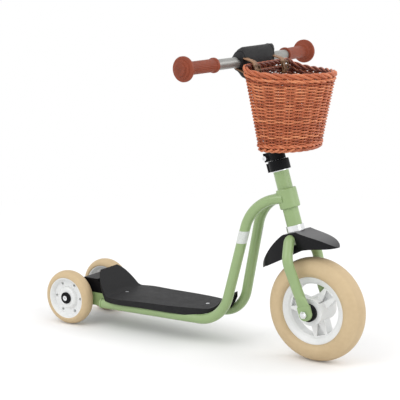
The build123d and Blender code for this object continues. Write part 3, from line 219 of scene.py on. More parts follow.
def material(name, colour, roughness, metallic=0.0, coat=0.0, sheen=0.0, specular=0.5):
    """A Principled material; returns it with its node kit, shader and Object coordinates."""
    made = bpy.data.materials.new(name)
    made.use_nodes = True
    kit = Nodes(made.node_tree)
    shader = made.node_tree.nodes["Principled BSDF"]
    shader.inputs["Base Color"].default_value = (*colour, 1)
    shader.inputs["Roughness"].default_value = roughness
    shader.inputs["Metallic"].default_value = metallic
    shader.inputs["Coat Weight"].default_value = coat
    shader.inputs["Coat Roughness"].default_value = 0.12
    shader.inputs["Sheen Weight"].default_value = sheen
    shader.inputs["Specular IOR Level"].default_value = specular
    place = kit.add("TexCoord").outputs["Object"]
    return made, kit, shader, place


# %% [markdown]
# ## Shared effects
# Two groups serve most surfaces. `dust` gives a soft mottled value for slight changes of colour and
# gloss. `grain` gives a fine bump from two noises, for powder coat, moulded plastic and rubber.

# %%
FLOAT = "NodeSocketFloat"
VECTOR = "NodeSocketVector"
dust, kit, enter, leave = group("dust", [("Vector", VECTOR), ("Scale", FLOAT)], [("Value", FLOAT)])
coarse = kit.noise(enter.outputs["Vector"], enter.outputs["Scale"], 4.0, 0.6)
fine = kit.noise(enter.outputs["Vector"], kit.math("MULTIPLY", enter.outputs["Scale"], 7.0), 2.0)
both = kit.math("ADD", kit.math("MULTIPLY", coarse, 0.7), kit.math("MULTIPLY", fine, 0.3))
dust.links.new(kit.between(both, 0.35, 0.65), leave.inputs["Value"])

grain, kit, enter, leave = group(
    "grain",
    [("Vector", VECTOR), ("Scale", FLOAT), ("Strength", FLOAT), ("Depth", FLOAT)],
    [("Normal", VECTOR)],
)
coarse = kit.noise(enter.outputs["Vector"], enter.outputs["Scale"], 2.0)
fine = kit.noise(enter.outputs["Vector"], kit.math("MULTIPLY", enter.outputs["Scale"], 3.1), 2.0)
both = kit.math("ADD", coarse, kit.math("MULTIPLY", fine, 0.5))
bumped = kit.bump(both, enter.outputs["Strength"], enter.outputs["Depth"])
grain.links.new(bumped, leave.inputs["Normal"])


def dusty(kit, place, scale):
    made = kit.add("Group", node_tree=dust)
    return kit.set(made, Vector=place, Scale=scale).outputs["Value"]


def grained(kit, place, scale, strength, depth):
    made = kit.add("Group", node_tree=grain)
    return kit.set(made, Vector=place, Scale=scale, Strength=strength, Depth=depth).outputs["Normal"]


def finish_surface(kit, shader, colour=None, roughness=None, normal=None):
    """Plugs what is given into the shader."""
    for socket, value in (("Base Color", colour), ("Roughness", roughness), ("Normal", normal)):
        if value is not None:
            kit.tree.links.new(value, shader.inputs[socket])


print("node groups:", [g.name for g in bpy.data.node_groups])

# %% [markdown]
# ## Floor finish
# Pale paper that only the camera sees as brighter: a little glow lifts it to white round the
# scooter's shadow, and towards its edge it goes over to pure white, so it has no visible rim. The glow
# is cut off for every other ray, so it lights nothing. Seen from below, the floor is clear, so the
# underside can be looked at.

# %%
floor_paper, kit, shader, place = material("studio_paper", (0.86, 0.86, 0.86), 0.9, specular=0.1)
mottle = dusty(kit, place, 1.5)
finish_surface(kit, shader, colour=kit.mix(mottle, (0.855, 0.855, 0.86, 1), (0.865, 0.865, 0.865, 1)))
spread = kit.add("VectorMath", operation="LENGTH")
kit.tree.links.new(place, spread.inputs[0])
edge = kit.between(spread.outputs["Value"], 0.75, 1.5)
glow = kit.add("Emission")
kit.set(glow, Strength=0.06)
lifted = kit.add("AddShader")
kit.tree.links.new(shader.outputs[0], lifted.inputs[0])
kit.tree.links.new(glow.outputs[0], lifted.inputs[1])
pure = kit.add("Emission")
kit.set(pure, Strength=1.0)
faded = kit.add("MixShader")
kit.tree.links.new(edge, faded.inputs[0])
kit.tree.links.new(lifted.outputs[0], faded.inputs[1])
kit.tree.links.new(pure.outputs[0], faded.inputs[2])
camera_only = kit.add("MixShader")
kit.tree.links.new(kit.add("LightPath").outputs["Is Camera Ray"], camera_only.inputs[0])
kit.tree.links.new(shader.outputs[0], camera_only.inputs[1])
kit.tree.links.new(faded.outputs[0], camera_only.inputs[2])
clear = kit.add("BsdfTransparent")
kit.set(clear, Color=(1, 1, 1, 1))
from_below = kit.add("MixShader")
kit.tree.links.new(kit.add("NewGeometry").outputs["Backfacing"], from_below.inputs[0])
kit.tree.links.new(camera_only.outputs[0], from_below.inputs[1])
kit.tree.links.new(clear.outputs[0], from_below.inputs[2])
kit.tree.links.new(from_below.outputs[0], kit.tree.nodes["Material Output"].inputs[0])
floor.data.materials.append(floor_paper)

# %% [markdown]
# ## Hard finishes
# Sage-green powder coat, turned steel, bright plating, satin bar tube and three black plastics. The
# powder coat gets faint orange peel; a mirror-smooth coat would look like car paint.

# %%


def plain_finish(name, dark, light, rough, grain_scale, strength, depth, patch=14.0, painted_sheen_top=None, **settings):
    """A finish that drifts between two near colours, with its own grain and perhaps a painted sheen that makes its
    upper side paler.
    """
    made, kit, shader, place = material(name, light, rough[0], **settings)
    value = dusty(kit, place, patch)
    colour = kit.mix(value, (*dark, 1), (*light, 1))
    if painted_sheen_top:
        # Faces that point up are mixed towards a paler colour: a painted sheen that stands in for the reflection of the
        # bright surroundings.
        facing = kit.add("SeparateXYZ")
        kit.tree.links.new(kit.add("NewGeometry").outputs["Normal"], facing.inputs[0])
        colour = kit.mix(kit.between(facing.outputs["Z"], 0.72, 1.0), colour, (*painted_sheen_top, 1))
    finish_surface(
        kit, shader,
        colour=colour,
        roughness=kit.between(value, 0, 1, *rough),
        normal=grained(kit, place, grain_scale, strength, depth),
    )
    return made


paint = plain_finish(
    "sage_powder_coat", (0.262, 0.372, 0.16), (0.284, 0.398, 0.175), (0.3, 0.38), 420, 0.12, 0.0004,
    coat=0.35,
)
steel = plain_finish("turned_steel", (0.55, 0.55, 0.56), (0.64, 0.64, 0.65), (0.24, 0.34), 900, 0.1, 0.0002, metallic=1.0)
plating = plain_finish("bright_plating", (0.74, 0.75, 0.76), (0.82, 0.83, 0.84), (0.12, 0.2), 700, 0.06, 0.0002, metallic=1.0)
satin_bar = plain_finish("satin_bar", (0.26, 0.26, 0.245), (0.32, 0.32, 0.305), (0.34, 0.44), 1200, 0.08, 0.0002, metallic=0.5)
black = plain_finish(
    "black_plastic", (0.004, 0.004, 0.005), (0.007, 0.007, 0.008), (0.36, 0.48), 900, 0.16, 0.0003, specular=0.1,
)
# The mudguard's top is painted paler: a painted reflection of the white studio on its upper faces.
guard = plain_finish(
    "mudguard_plastic", (0.004, 0.004, 0.005), (0.007, 0.007, 0.008), (0.26, 0.34), 600, 0.06, 0.0002, painted_sheen_top=(0.1, 0.1, 0.103), specular=0.18,
)
brass = plain_finish("aged_brass", (0.1, 0.055, 0.03), (0.15, 0.09, 0.05), (0.3, 0.5), 800, 0.1, 0.0002, metallic=1.0)
white_plastic = plain_finish("white_plastic", (0.73, 0.74, 0.735), (0.79, 0.8, 0.795), (0.3, 0.42), 500, 0.06, 0.0002)

# %% [markdown]
# ## Footboard
# The board is moulded with a leathery anti-slip grain: raised pebbles a little over a millimetre
# across with thin valleys between. A Voronoi cell pattern gives pebbles; plain noise looks like sand.

# %%
deck_skin, kit, shader, place = material("deck_skin", (0.02, 0.02, 0.021), 0.55, specular=0.15)
cells = kit.add("TexVoronoi", feature="DISTANCE_TO_EDGE")
kit.set(cells, Vector=place, Scale=620.0)
pebble = kit.between(cells.outputs["Distance"], 0.0, 0.28)
value = dusty(kit, place, 22.0)
tone = kit.mix(value, (0.01, 0.01, 0.011, 1), (0.017, 0.017, 0.018, 1))
# Pebble tops are mixed lighter and the valleys stay darker: painted light on the raised grain and painted shade in the
# valleys.
painted_pebble_light = kit.mix(kit.math("MULTIPLY", pebble, 0.5), tone, (0.032, 0.032, 0.033, 1))
finish_surface(
    kit, shader, colour=painted_pebble_light, roughness=kit.between(value, 0, 1, 0.5, 0.64),
    normal=kit.bump(pebble, 0.35, 0.0004),
)

# %% [markdown]
# ## Tyres and grips
# Both are turned about a wheel or bar axis, so their patterns use the angle and radius about that
# axis. Each tyre gets shallow circumferential lines on its walls and cross sipes on the tread.

# %%


def tyre_rubber(name, centre, radius, half_width, sipes):
    made, kit, shader, place = material(name, (0.571, 0.434, 0.254), 0.6)
    parts = kit.add("SeparateXYZ")
    kit.set(parts, Vector=place)
    x = kit.math("SUBTRACT", parts.outputs[0], centre[0])
    z = kit.math("SUBTRACT", parts.outputs[2], centre[2])
    angle = kit.math("ARCTAN2", z, x)
    reach = kit.math("SQRT", kit.math("ADD", kit.math("MULTIPLY", x, x), kit.math("MULTIPLY", z, z)))
    across = kit.math("ABSOLUTE", kit.math("SUBTRACT", parts.outputs[1], centre[1]))
    rings = kit.math("SINE", kit.math("MULTIPLY", reach, 2 * math.pi / 0.0032))
    rings = kit.math("MULTIPLY", rings, kit.between(reach, radius - 0.012, radius - 0.004, 1, 0))
    tread = kit.between(across, half_width * 0.62, half_width * 0.5)
    slits = kit.math("POWER", kit.math("ABSOLUTE", kit.math("SINE", kit.math("MULTIPLY", angle, sipes))), 0.25)
    slits = kit.math("MULTIPLY", kit.math("SUBTRACT", slits, 1.0), tread)
    height = kit.math("ADD", kit.math("MULTIPLY", rings, 0.12), slits)
    value = dusty(kit, place, 18.0)
    tone = kit.mix(value, (0.54, 0.405, 0.235, 1), (0.6, 0.46, 0.275, 1))
    # The tread band is mixed darker than the walls.
    darker_tread = kit.mix(kit.math("MULTIPLY", tread, 0.22), tone, (0.42, 0.31, 0.185, 1))
    finish_surface(
        kit, shader, colour=darker_tread, roughness=kit.between(value, 0, 1, 0.55, 0.7),
        normal=kit.bump(height, 0.35, 0.0006, grained(kit, place, 500, 0.12, 0.0003)),
    )
    return made


def centre_of(node):
    low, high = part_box(node)
    return (low + high) / 2, (high - low) / 2


tyres = {}
for node, sipes in (("front_tyre", 70), ("rear_tyre_left", 44), ("rear_tyre_right", 44)):
    middle, half = centre_of(node)
    tyres[node] = tyre_rubber(node + "_rubber", middle, half.x, half.y, sipes)

bar_low, bar_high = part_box("handlebar")
bar_radius = (bar_high.z - bar_low.z) / 2
bar_x = bar_high.x - bar_radius
bar_z = bar_high.z - bar_radius
bar_straight = 0.060
bar_sweep = 0.012 / (0.213 - bar_straight)
grip_rubber, kit, shader, place = material("grip_rubber", (0.22, 0.05, 0.024), 0.5, specular=0.25)
parts = kit.add("SeparateXYZ")
kit.set(parts, Vector=place)
back = kit.math("MULTIPLY", kit.math("SUBTRACT", kit.math("ABSOLUTE", parts.outputs[1]), bar_straight), bar_sweep)
x = kit.math("ADD", kit.math("SUBTRACT", parts.outputs[0], bar_x), back)
z = kit.math("SUBTRACT", parts.outputs[2], bar_z)
angle = kit.math("ARCTAN2", z, x)
reach = kit.math("SQRT", kit.math("ADD", kit.math("MULTIPLY", x, x), kit.math("MULTIPLY", z, z)))
sleeve = kit.between(reach, 0.0135, 0.0125)
flutes = kit.math("MULTIPLY", kit.math("SINE", kit.math("MULTIPLY", angle, 26)), sleeve)
value = dusty(kit, place, 30.0)
tone = kit.mix(value, (0.2, 0.042, 0.019, 1), (0.26, 0.058, 0.027, 1))
# The bottoms of the flutes are mixed darker: painted shade in the grooves.
painted_groove_shade = kit.mix(kit.math("MULTIPLY", kit.between(flutes, 0, -1), 0.35), tone, (0.12, 0.025, 0.012, 1))
finish_surface(
    kit, shader, colour=painted_groove_shade, roughness=kit.between(value, 0, 1, 0.42, 0.56),
    normal=kit.bump(flutes, 0.5, 0.0005, grained(kit, place, 700, 0.14, 0.0003)),
)
print("tyre materials:", sorted(tyres))

# %% [markdown]
# ## Reflective film
# The bands on the frame are prismatic film: a fine honeycomb of cells under a glossy face.

# %%
film, kit, shader, place = material("reflective_film", (0.6, 0.64, 0.6), 0.22, coat=0.6)
cells = kit.add("TexVoronoi", feature="DISTANCE_TO_EDGE")
kit.set(cells, Vector=place, Scale=420.0)
edge = kit.between(cells.outputs["Distance"], 0.0, 0.09)
finish_surface(
    kit, shader, colour=kit.mix(edge, (0.5, 0.53, 0.5, 1), (0.66, 0.69, 0.66, 1)),
    normal=kit.bump(edge, 0.2, 0.0002),
)

# %% [markdown]
# ## Finishes on the CAD nodes
# The record says which slot each node belongs to, so one table from slot to material covers every
# node. A tyre has a material of its own because its pattern needs its own centre.

# %%
slot_material = {
    "frame_paint": paint, "steel": steel, "bright_plating": plating, "bar_finish": satin_bar,
    "black_plastic": black, "deck_plastic": deck_skin, "mudguard_plastic": guard,
    "rim_plastic": white_plastic, "grip_rubber": grip_rubber, "reflector_film": film,
}
node_material = {"strap_buckles": brass}
slot_of = {part["node"]: part["material_slot"] for part in frame["record"]["subparts"]}
for node, piece in nodes.items():
    made = tyres.get(node) or node_material.get(node) or slot_material.get(slot_of[node])
    if made:
        piece.data.materials.clear()
        piece.data.materials.append(made)
print("dressed", sum(1 for n in nodes.values() if n.data.materials), "nodes")

# %% [markdown]
# ## Strands
# Willow rods, leather thongs and piping are all sweeps: an oval section carried along a list of
# points, each with its own outward direction. A curve with a bevel would twist as it liked; a sweep
# in mesh code keeps a rod's flat side against the wall. Each vertex also stores how far along its rod
# it lies and a tone of its rod, so the wood's colour can follow the rods.

# %%


def new_piece(name, bm, finish, body, smooth=True):
    """Turns a bmesh into an object that rides on a body."""
    mesh = bpy.data.meshes.new(name)
    bmesh.ops.recalc_face_normals(bm, faces=bm.faces)
    bm.to_mesh(mesh)
    bm.free()
    mesh.materials.append(finish)
    for face in mesh.polygons:
        face.use_smooth = smooth
    piece = bpy.data.objects.new(name, mesh)
    bpy.context.scene.collection.objects.link(piece)
    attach(piece, body)
    print(name, len(mesh.polygons), "faces")
    return piece


def strand(bm, path, outward, thick, high, sides=6, closed=True, tone=0.5):
    """Sweeps an oval section, thick along outward and high across it, along a path."""
    rod = bmesh.new()
    along = rod.verts.layers.float.new("along")
    shade = rod.verts.layers.float.new("tone")
    around = rod.verts.layers.float.new("around")
    for layer in ("along", "tone", "around"):
        if layer not in bm.verts.layers.float:
            bm.verts.layers.float.new(layer)
    ring = bmesh.ops.create_circle(rod, segments=sides, radius=1)["verts"]
    for vert in ring:
        vert[shade] = tone
        vert[around] = (vert.co.x + 1) / 2
    edges = list(rod.edges)
    first = edges
    last_place = Matrix.Identity(4)
    count = len(path)
    run = 0.0
    for step in range(count):
        before = path[step - 1] if closed or step else path[step]
        after = path[(step + 1) % count] if closed or step < count - 1 else path[step]
        tangent = (after - before).normalized()
        out = outward[step] - tangent * outward[step].dot(tangent)
        out.normalize()
        up = tangent.cross(out)
        size = thick[step] if isinstance(thick, list) else thick
        tall = high[step] if isinstance(high, list) else high
        place = Matrix.Translation(path[step]) @ Matrix((out * size, up * tall, tangent * size)).transposed().to_4x4()
        if step:
            made = bmesh.ops.extrude_edge_only(rod, edges=edges)["geom"]
            ring = [part for part in made if isinstance(part, bmesh.types.BMVert)]
            edges = [part for part in made if isinstance(part, bmesh.types.BMEdge)]
            run += (path[step] - path[step - 1]).length
        bmesh.ops.transform(rod, matrix=place @ last_place.inverted(), verts=ring)
        for vert in ring:
            vert[along] = run
        last_place = place
    if closed:
        bmesh.ops.bridge_loops(rod, edges=first + edges)
    else:
        bmesh.ops.holes_fill(rod, edges=rod.edges)
    carry = bpy.data.meshes.new("rod")
    rod.to_mesh(carry)
    rod.free()
    bm.from_mesh(carry)
    bpy.data.meshes.remove(carry)


# %% [markdown]
# ## Willow
# Buffed willow under clear varnish: each rod has a tone of its own, streaks that run along it, and a
# glint. The streaks read the rod's own length and girth, so they bend with the weave.

# %%
willow, kit, shader, place = material("varnished_willow", (0.42, 0.14, 0.06), 0.4, coat=0.12, specular=0.3)
run = kit.add("Attribute", attribute_name="along").outputs["Fac"]
own = kit.add("Attribute", attribute_name="tone").outputs["Fac"]
girth = kit.add("Attribute", attribute_name="around").outputs["Fac"]
fibre = kit.add("CombineXYZ")
kit.set(fibre, X=kit.math("MULTIPLY", run, 55.0), Y=kit.math("MULTIPLY", girth, 9.0), Z=kit.math("MULTIPLY", own, 40.0))
streak = kit.between(kit.noise(fibre.outputs[0], 1.0, 4.0, 0.62), 0.32, 0.68)
blotch = dusty(kit, place, 26.0)
share = kit.math("ADD", kit.math("MULTIPLY", own, 0.5), kit.math("MULTIPLY", streak, 0.32))
share = kit.math("ADD", share, kit.math("MULTIPLY", blotch, 0.18))
ramp = kit.add("ValToRGB")
ramp.color_ramp.elements[0].position = 0.15
ramp.color_ramp.elements[0].color = (0.26, 0.054, 0.019, 1)
ramp.color_ramp.elements[1].position = 0.9
ramp.color_ramp.elements[1].color = (0.74, 0.29, 0.135, 1)
middle = ramp.color_ramp.elements.new(0.52)
middle.color = (0.5, 0.138, 0.058, 1)
kit.set(ramp, Fac=share)
# The side of each rod that faces into the basket is mixed towards dark brown: painted shade for the basket's shadowed
# inside.
inner = kit.between(girth, 0.45, 0.1)
painted_inner_shade = kit.mix(kit.math("MULTIPLY", inner, 0.9), ramp.outputs[0], (0.07, 0.012, 0.01, 1))
finish_surface(
    kit, shader, colour=painted_inner_shade, roughness=kit.between(streak, 0, 1, 0.34, 0.5),
    normal=kit.bump(streak, 0.25, 0.0003),
)

# %% [markdown]
# ## Basket wall
# A handlebar basket is D-shaped: a flat back against the bar, rounded corners and a bellied front,
# wider at the rim than at the foot. It is made on upright stakes. One rod passes in front of a stake
# and behind the next, and the row above does the opposite. Every rod is modelled, because the light
# between the rods is what makes it wicker; a bumped shell would be smooth at its edge.

# %%
basket_low, basket_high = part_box("basket")
rim_z = basket_high.z
foot_z = basket_low.z
rim_drop = 0.014
rim_back = basket_low.x
rim_front = rim_back + 0.150
foot_back = rim_back + 0.03665
foot_front = foot_back + 0.078
rim_half = basket_high.y
foot_half = rim_half - 0.006
corner = 0.014


def lerp(a, b, t):
    return a + (b - a) * t


def outline_point(raw, share):
    """A point on the D outline. raw runs 0 to 4: back, left corner, front, right corner."""
    back = lerp(foot_back, rim_back, share)
    front = lerp(foot_front, rim_front, share)
    half = lerp(foot_half, rim_half, share)
    middle = back + corner
    part = int(raw) % 4
    t = raw - int(raw)
    if part == 0:
        return Vector((back, lerp(-(half - corner), half - corner, t), 0))
    if part == 1:
        turn = math.pi - t * math.pi / 2
        return Vector((middle + corner * math.cos(turn), half - corner + corner * math.sin(turn), 0))
    if part == 2:
        turn = math.pi / 2 - t * math.pi
        return Vector((middle + (front - middle) * math.cos(turn), half * math.sin(turn), 0))
    turn = -math.pi / 2 - t * math.pi / 2
    return Vector((middle + corner * math.cos(turn), -(half - corner) + corner * math.sin(turn), 0))


table_size = 800
lengths = [0.0]
last = outline_point(0, 0.5)
for step in range(1, table_size + 1):
    here = outline_point(min(4 * step / table_size, 3.9999), 0.5)
    lengths.append(lengths[-1] + (here - last).length)
    last = here


def raw_at(u):
    """Outline parameter at a share of the way round, even in length half-way up."""
    goal = (u % 1.0) * lengths[-1]
    low, high = 0, table_size
    while high - low > 1:
        middle = (low + high) // 2
        if lengths[middle] <= goal:
            low = middle
        else:
            high = middle
    t = (goal - lengths[low]) / (lengths[high] - lengths[low])
    return 4 * (low + t) / table_size


foot_shift = 0.005


def wall(u, rise, offset=0.0):
    """Point and outward direction on the wall's outer face. rise is 0 at the foot and 1 at the rim."""
    raw = raw_at(u)
    dip = 1 - (outline_point(raw, 1).x - rim_back) / (rim_front - rim_back)
    rim_here = rim_z - rim_drop * (1 - dip ** 6)
    z = lerp(foot_z, rim_here, rise)
    share = (z - foot_z) / (rim_z - foot_z)
    here = outline_point(raw, share) - Vector((foot_shift * (1 - share), 0, 0))
    ahead = outline_point(raw_at(u + 0.002), share)
    behind = outline_point(raw_at(u - 0.002), share)
    tangent = (ahead - behind).normalized()
    out = Vector((-tangent.y, tangent.x, 0))
    belly = 0.0015 * (1 + out.x)
    return Vector((here.x, here.y, z)) + out * (offset + belly), out


stakes = 26
wall_inset = 0.0042
weave = 0.0025
rows = 43
steps = stakes * 6
first_row = 0.098
last_row = 0.876
basket = bmesh.new()
for row in range(rows):
    rise = lerp(first_row, last_row, row / (rows - 1))
    wander = random.uniform(0, 6.28)
    path, outward, thick, tall = [], [], [], []
    size = random.uniform(0.93, 1.07)
    for step in range(steps):
        u = step / steps
        swing = math.cos(math.pi * (stakes * u + row))
        drift = 0.0008 * math.sin(6.28 * 2 * u + wander)
        point, out = wall(u, rise + drift, -wall_inset + weave * swing)
        path.append(point)
        outward.append(out)
        thick.append(0.00135 * size)
        tall.append(0.00156 * size * (1 + 0.06 * math.sin(6.28 * 5 * u + wander)))
    strand(basket, path, outward, thick, tall, 6, True, random.random())
for stake in range(stakes):
    path, outward = [], []
    for step in range(15):
        point, out = wall(stake / stakes, lerp(0.03, 0.95, step / 14), -wall_inset)
        path.append(point)
        outward.append(out)
    strand(basket, path, outward, 0.0014, 0.0017, 6, False, random.uniform(0.2, 0.8))
print("basket: rows", rows, "stakes", stakes)

# %% [markdown]
# ## Border, waling and foot
# A rope-like border finishes the rim, with a three-rod wale under it and another above the foot. The
# foot ends in the stakes bent over one another, which gives its scalloped edge.

# %%


def rope(bm, rise, inset, rods, turns, out_size, up_size, rod, sides=8):
    """Rods that wind round a line on the wall."""
    steps = turns * 18
    for number in range(rods):
        path, outward = [], []
        for step in range(steps):
            u = step / steps
            turn = 2 * math.pi * (turns * u + number / rods)
            point, out = wall(u, rise, -inset + out_size * math.cos(turn))
            path.append(point + Vector((0, 0, up_size * math.sin(turn))))
            outward.append(out)
        strand(bm, path, outward, rod, rod, sides, True, random.uniform(0.35, 0.95))


rope(basket, 0.957, 0.0052, 3, 10, 0.0030, 0.0031, 0.0027)
rope(basket, 0.898, 0.0050, 3, 12, 0.0034, 0.0015, 0.0021)
rope(basket, 0.078, 0.0050, 3, 12, 0.0032, 0.0015, 0.0021)
for stake in range(stakes):
    path, outward = [], []
    for step in range(13):
        t = step / 12
        u = (stake + 2.2 * t) / stakes
        point, out = wall(u, 0.018, -0.0052 + 0.0034 * math.cos(math.pi * t))
        path.append(point + Vector((0, 0, 0.0052 * (1 - math.sin(math.pi * t)))))
        outward.append(out)
    strand(basket, path, outward, 0.0021, 0.0021, 6, False, random.uniform(0.3, 0.95))

# %% [markdown]
# ## Basket floor
# The floor is woven flat: thick sticks from side to side, with rods in and out between them in rings
# that shrink towards the middle.

# %%
floor_z = foot_z + 0.0055
floor_middle = Vector(((foot_back + foot_front) / 2, 0, 0))
rings = 12
spokes = 16
for ring in range(rings):
    scale = 0.93 - ring * 0.073
    path, outward = [], []
    for step in range(spokes * 4):
        u = step / (spokes * 4)
        point = floor_middle + (outline_point(raw_at(u), 0) - floor_middle) * scale
        point.z = floor_z + 0.0012 * math.cos(math.pi * (spokes * u + ring))
        path.append(point)
        outward.append(Vector((0, 0, 1)))
    strand(basket, path, outward, 0.0013, 0.0021, 6, True, random.random())
for spoke in range(spokes):
    edge = outline_point(raw_at((spoke + 0.0) / spokes), 0)
    path = [Vector((*(floor_middle + (edge - floor_middle) * t).xy, floor_z)) for t in (0.06, 0.4, 0.7, 0.95)]
    strand(basket, path, [Vector((0, 0, 1))] * 4, 0.0013, 0.0019, 6, False, random.random())
wicker = new_piece("wicker_basket", basket, willow, "handlebar_unit")
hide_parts("basket")

# %% [markdown]
# ## Padded bar cover
# The cover is a foam sleeve in black woven cloth, wrapped round the bar, with a flap that narrows
# down the stem. Its shape starts as two plain hulls, a little small, which a voxel remesh joins into
# one skin. A short cloth run under pressure then swells the skin, so it gets the soft crown and the
# dips between its corners that a sewn cover has.

# %%
pad_half = (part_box("handlebar_pad")[1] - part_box("handlebar_pad")[0]).y / 2
lean = math.radians(17)
ahead_of_stem = Vector((math.cos(lean), 0, math.sin(lean)))


def hull(bm, points):
    """Convex hull of a set of points, added to a bmesh."""
    verts = [bm.verts.new(p) for p in points]
    made = bmesh.ops.convex_hull(bm, input=verts)
    spare = {part for part in made["geom_interior"] + made["geom_unused"] if isinstance(part, bmesh.types.BMVert)}
    bmesh.ops.delete(bm, geom=list(spare), context="VERTS")


def stem_point(y, z, depth):
    """A point at a height on the stem's line, moved sideways and forward from it."""
    return Vector((bar_x + (bar_z - z) * math.tan(lean), y, z)) + ahead_of_stem * depth


profile = [
    (-10, -6, 25), (-12, 7, 27), (-8, 22, 20), (-1, 28.5, 6), (5, 28.5, 4), (11, 22, 12), (15, 9, 20), (15, -1, 26), (9, -7, 30),
]
near_end_slack = (0, -16, 8, 30, 30, 10, -12, -2, 0)
bm = bmesh.new()
ends = []
for side in (-1, 1):
    for (x, z, short), slack in zip(profile, near_end_slack):
        short += slack if side < 0 else 0
        ends.append(Vector((bar_x + x / 1000, side * (pad_half - short / 1000), bar_z + z / 1000)))
hull(bm, ends)
flap = []
for y, z in ((0.058, bar_z), (0.062, bar_z - 0.007), (0.036, bar_z - 0.029), (0.016, bar_z - 0.045)):
    for side in (-1, 1):
        for depth in (-0.011, 0.011):
            flap.append(stem_point(side * y, z, depth))
hull(bm, flap)
shell = bpy.data.meshes.new("pad_shell")
bm.to_mesh(shell)
bm.free()


def settled(mesh, voxel, pressure, cap, frames=20):
    """Remeshes a closed mesh, swells it as cloth under pressure and returns the smooth result."""
    work = bpy.data.objects.new("cloth_work", mesh)
    bpy.context.scene.collection.objects.link(work)
    remesh = work.modifiers.new("remesh", "REMESH")
    remesh.mode = "VOXEL"
    remesh.voxel_size = voxel
    graph = bpy.context.evaluated_depsgraph_get()
    even = bpy.data.meshes.new_from_object(work.evaluated_get(graph))
    work.modifiers.clear()
    work.data = even
    start = [v.co.copy() for v in even.vertices]
    cloth = work.modifiers.new("cloth", "CLOTH")
    cloth.settings.quality = 5
    cloth.settings.mass = 0.3
    cloth.settings.tension_stiffness = 15
    cloth.settings.compression_stiffness = 15
    cloth.settings.bending_stiffness = 0.5
    cloth.settings.use_pressure = True
    cloth.settings.uniform_pressure_force = pressure
    cloth.settings.effector_weights.gravity = 0
    cloth.collision_settings.use_collision = False
    scene = bpy.context.scene
    for number in range(1, frames + 1):
        scene.frame_set(number)
    graph = bpy.context.evaluated_depsgraph_get()
    swollen = bpy.data.meshes.new_from_object(work.evaluated_get(graph))
    for vert, origin in zip(swollen.vertices, start):
        move = vert.co - origin
        if move.length > cap:
            vert.co = origin + move.normalized() * cap
    work.modifiers.clear()
    work.data = swollen
    scene.frame_set(1)
    bm = bmesh.new()
    bm.from_mesh(work.data)
    for _ in range(2):
        bmesh.ops.smooth_vert(bm, verts=bm.verts, factor=0.5, use_axis_x=True, use_axis_y=True, use_axis_z=True)
    bpy.data.objects.remove(work)
    return bm


bm = settled(shell, 0.0045, 4.0, 0.005)
sub = bpy.data.meshes.new("pad_even")
bm.to_mesh(sub)
bm.free()
holder = bpy.data.objects.new("pad_holder", sub)
bpy.context.scene.collection.objects.link(holder)
smooth = holder.modifiers.new("smooth", "SUBSURF")
smooth.levels = 1
smooth.render_levels = 1
even = bpy.data.meshes.new_from_object(holder.evaluated_get(bpy.context.evaluated_depsgraph_get()))
bpy.data.objects.remove(holder)
bm = bmesh.new()
bm.from_mesh(even)

# %% [markdown]
# ### Its cloth
# Coated black ripstop: a fine square weave with a slightly thicker thread every few millimetres, and
# a soft sheen at its edges. Two sine waves across each other make the weave from the place alone, so
# it needs no UVs.

# %%
cloth_black, kit, shader, place = material("black_ripstop", (0.006, 0.006, 0.007), 0.7, sheen=0.08, specular=0.2)
parts = kit.add("SeparateXYZ")
kit.set(parts, Vector=place)
slant = kit.math("ADD", parts.outputs[0], parts.outputs[2])
warp = kit.math("SINE", kit.math("MULTIPLY", parts.outputs[1], 2 * math.pi / 0.0009))
weft = kit.math("SINE", kit.math("MULTIPLY", slant, 2 * math.pi / 0.0011))
threads = kit.math("MULTIPLY", warp, weft)
value = dusty(kit, place, 30.0)
tone = kit.mix(value, (0.005, 0.005, 0.006, 1), (0.01, 0.01, 0.011, 1))
lit = kit.mix(kit.between(threads, -1, 1, 0, 0.4), tone, (0.02, 0.02, 0.021, 1))
finish_surface(
    kit, shader, colour=lit, roughness=kit.between(value, 0, 1, 0.6, 0.76),
    normal=kit.bump(threads, 0.25, 0.0003, grained(kit, place, 90, 0.2, 0.0012)),
)
pad = new_piece("padded_bar_cover", bm, cloth_black, "handlebar_unit")
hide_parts("handlebar_pad")

# %% [markdown]
# ### Its seams
# Piping closes each end and runs along the front and back lower edges. The swollen skin isn't known
# beforehand, so each seam point is found by a ray from outside on to it.

# %%
surface = BVHTree.FromObject(pad, bpy.context.evaluated_depsgraph_get())


def on_skin(middle, direction, far=0.08):
    """Where a ray from outside towards the middle meets the pad, with the outward direction."""
    hit = surface.ray_cast(middle + direction * far, -direction, far * 2)
    return (hit[0], hit[1]) if hit[0] else (None, None)


seams = bmesh.new()
for side in (-1, 1):
    path, outward = [], []
    for step in range(64):
        turn = 2 * math.pi * step / 64
        direction = Vector((math.cos(turn), 0, math.sin(turn)))
        middle = Vector((bar_x + 0.001, side * (pad_half - 0.024), bar_z + 0.008))
        point, normal = on_skin(middle, direction)
        if point:
            path.append(point)
            outward.append(normal)
    strand(seams, path, outward, 0.0009, 0.0009, 6, True)
for direction in (Vector((0.94, 0, -0.34)), Vector((-0.96, 0, -0.28))):
    path, outward = [], []
    for step in range(41):
        y = lerp(-(pad_half - 0.026), pad_half - 0.026, step / 40)
        point, normal = on_skin(Vector((bar_x, y, bar_z + 0.003)), direction.normalized())
        if point:
            path.append(point)
            outward.append(normal)
    strand(seams, path, outward, 0.0008, 0.0008, 6, False)
piping = new_piece("cover_piping", seams, cloth_black, "handlebar_unit")

# %% [markdown]
# ## Leather straps
# Two waxed leather straps carry the basket: each goes round the bar, over the rim and back out
# through the wall. A strap is one flat band round three rounds, so its line is the taut loop round
# three circles. The stitches sit in two rows a little in from its edges.

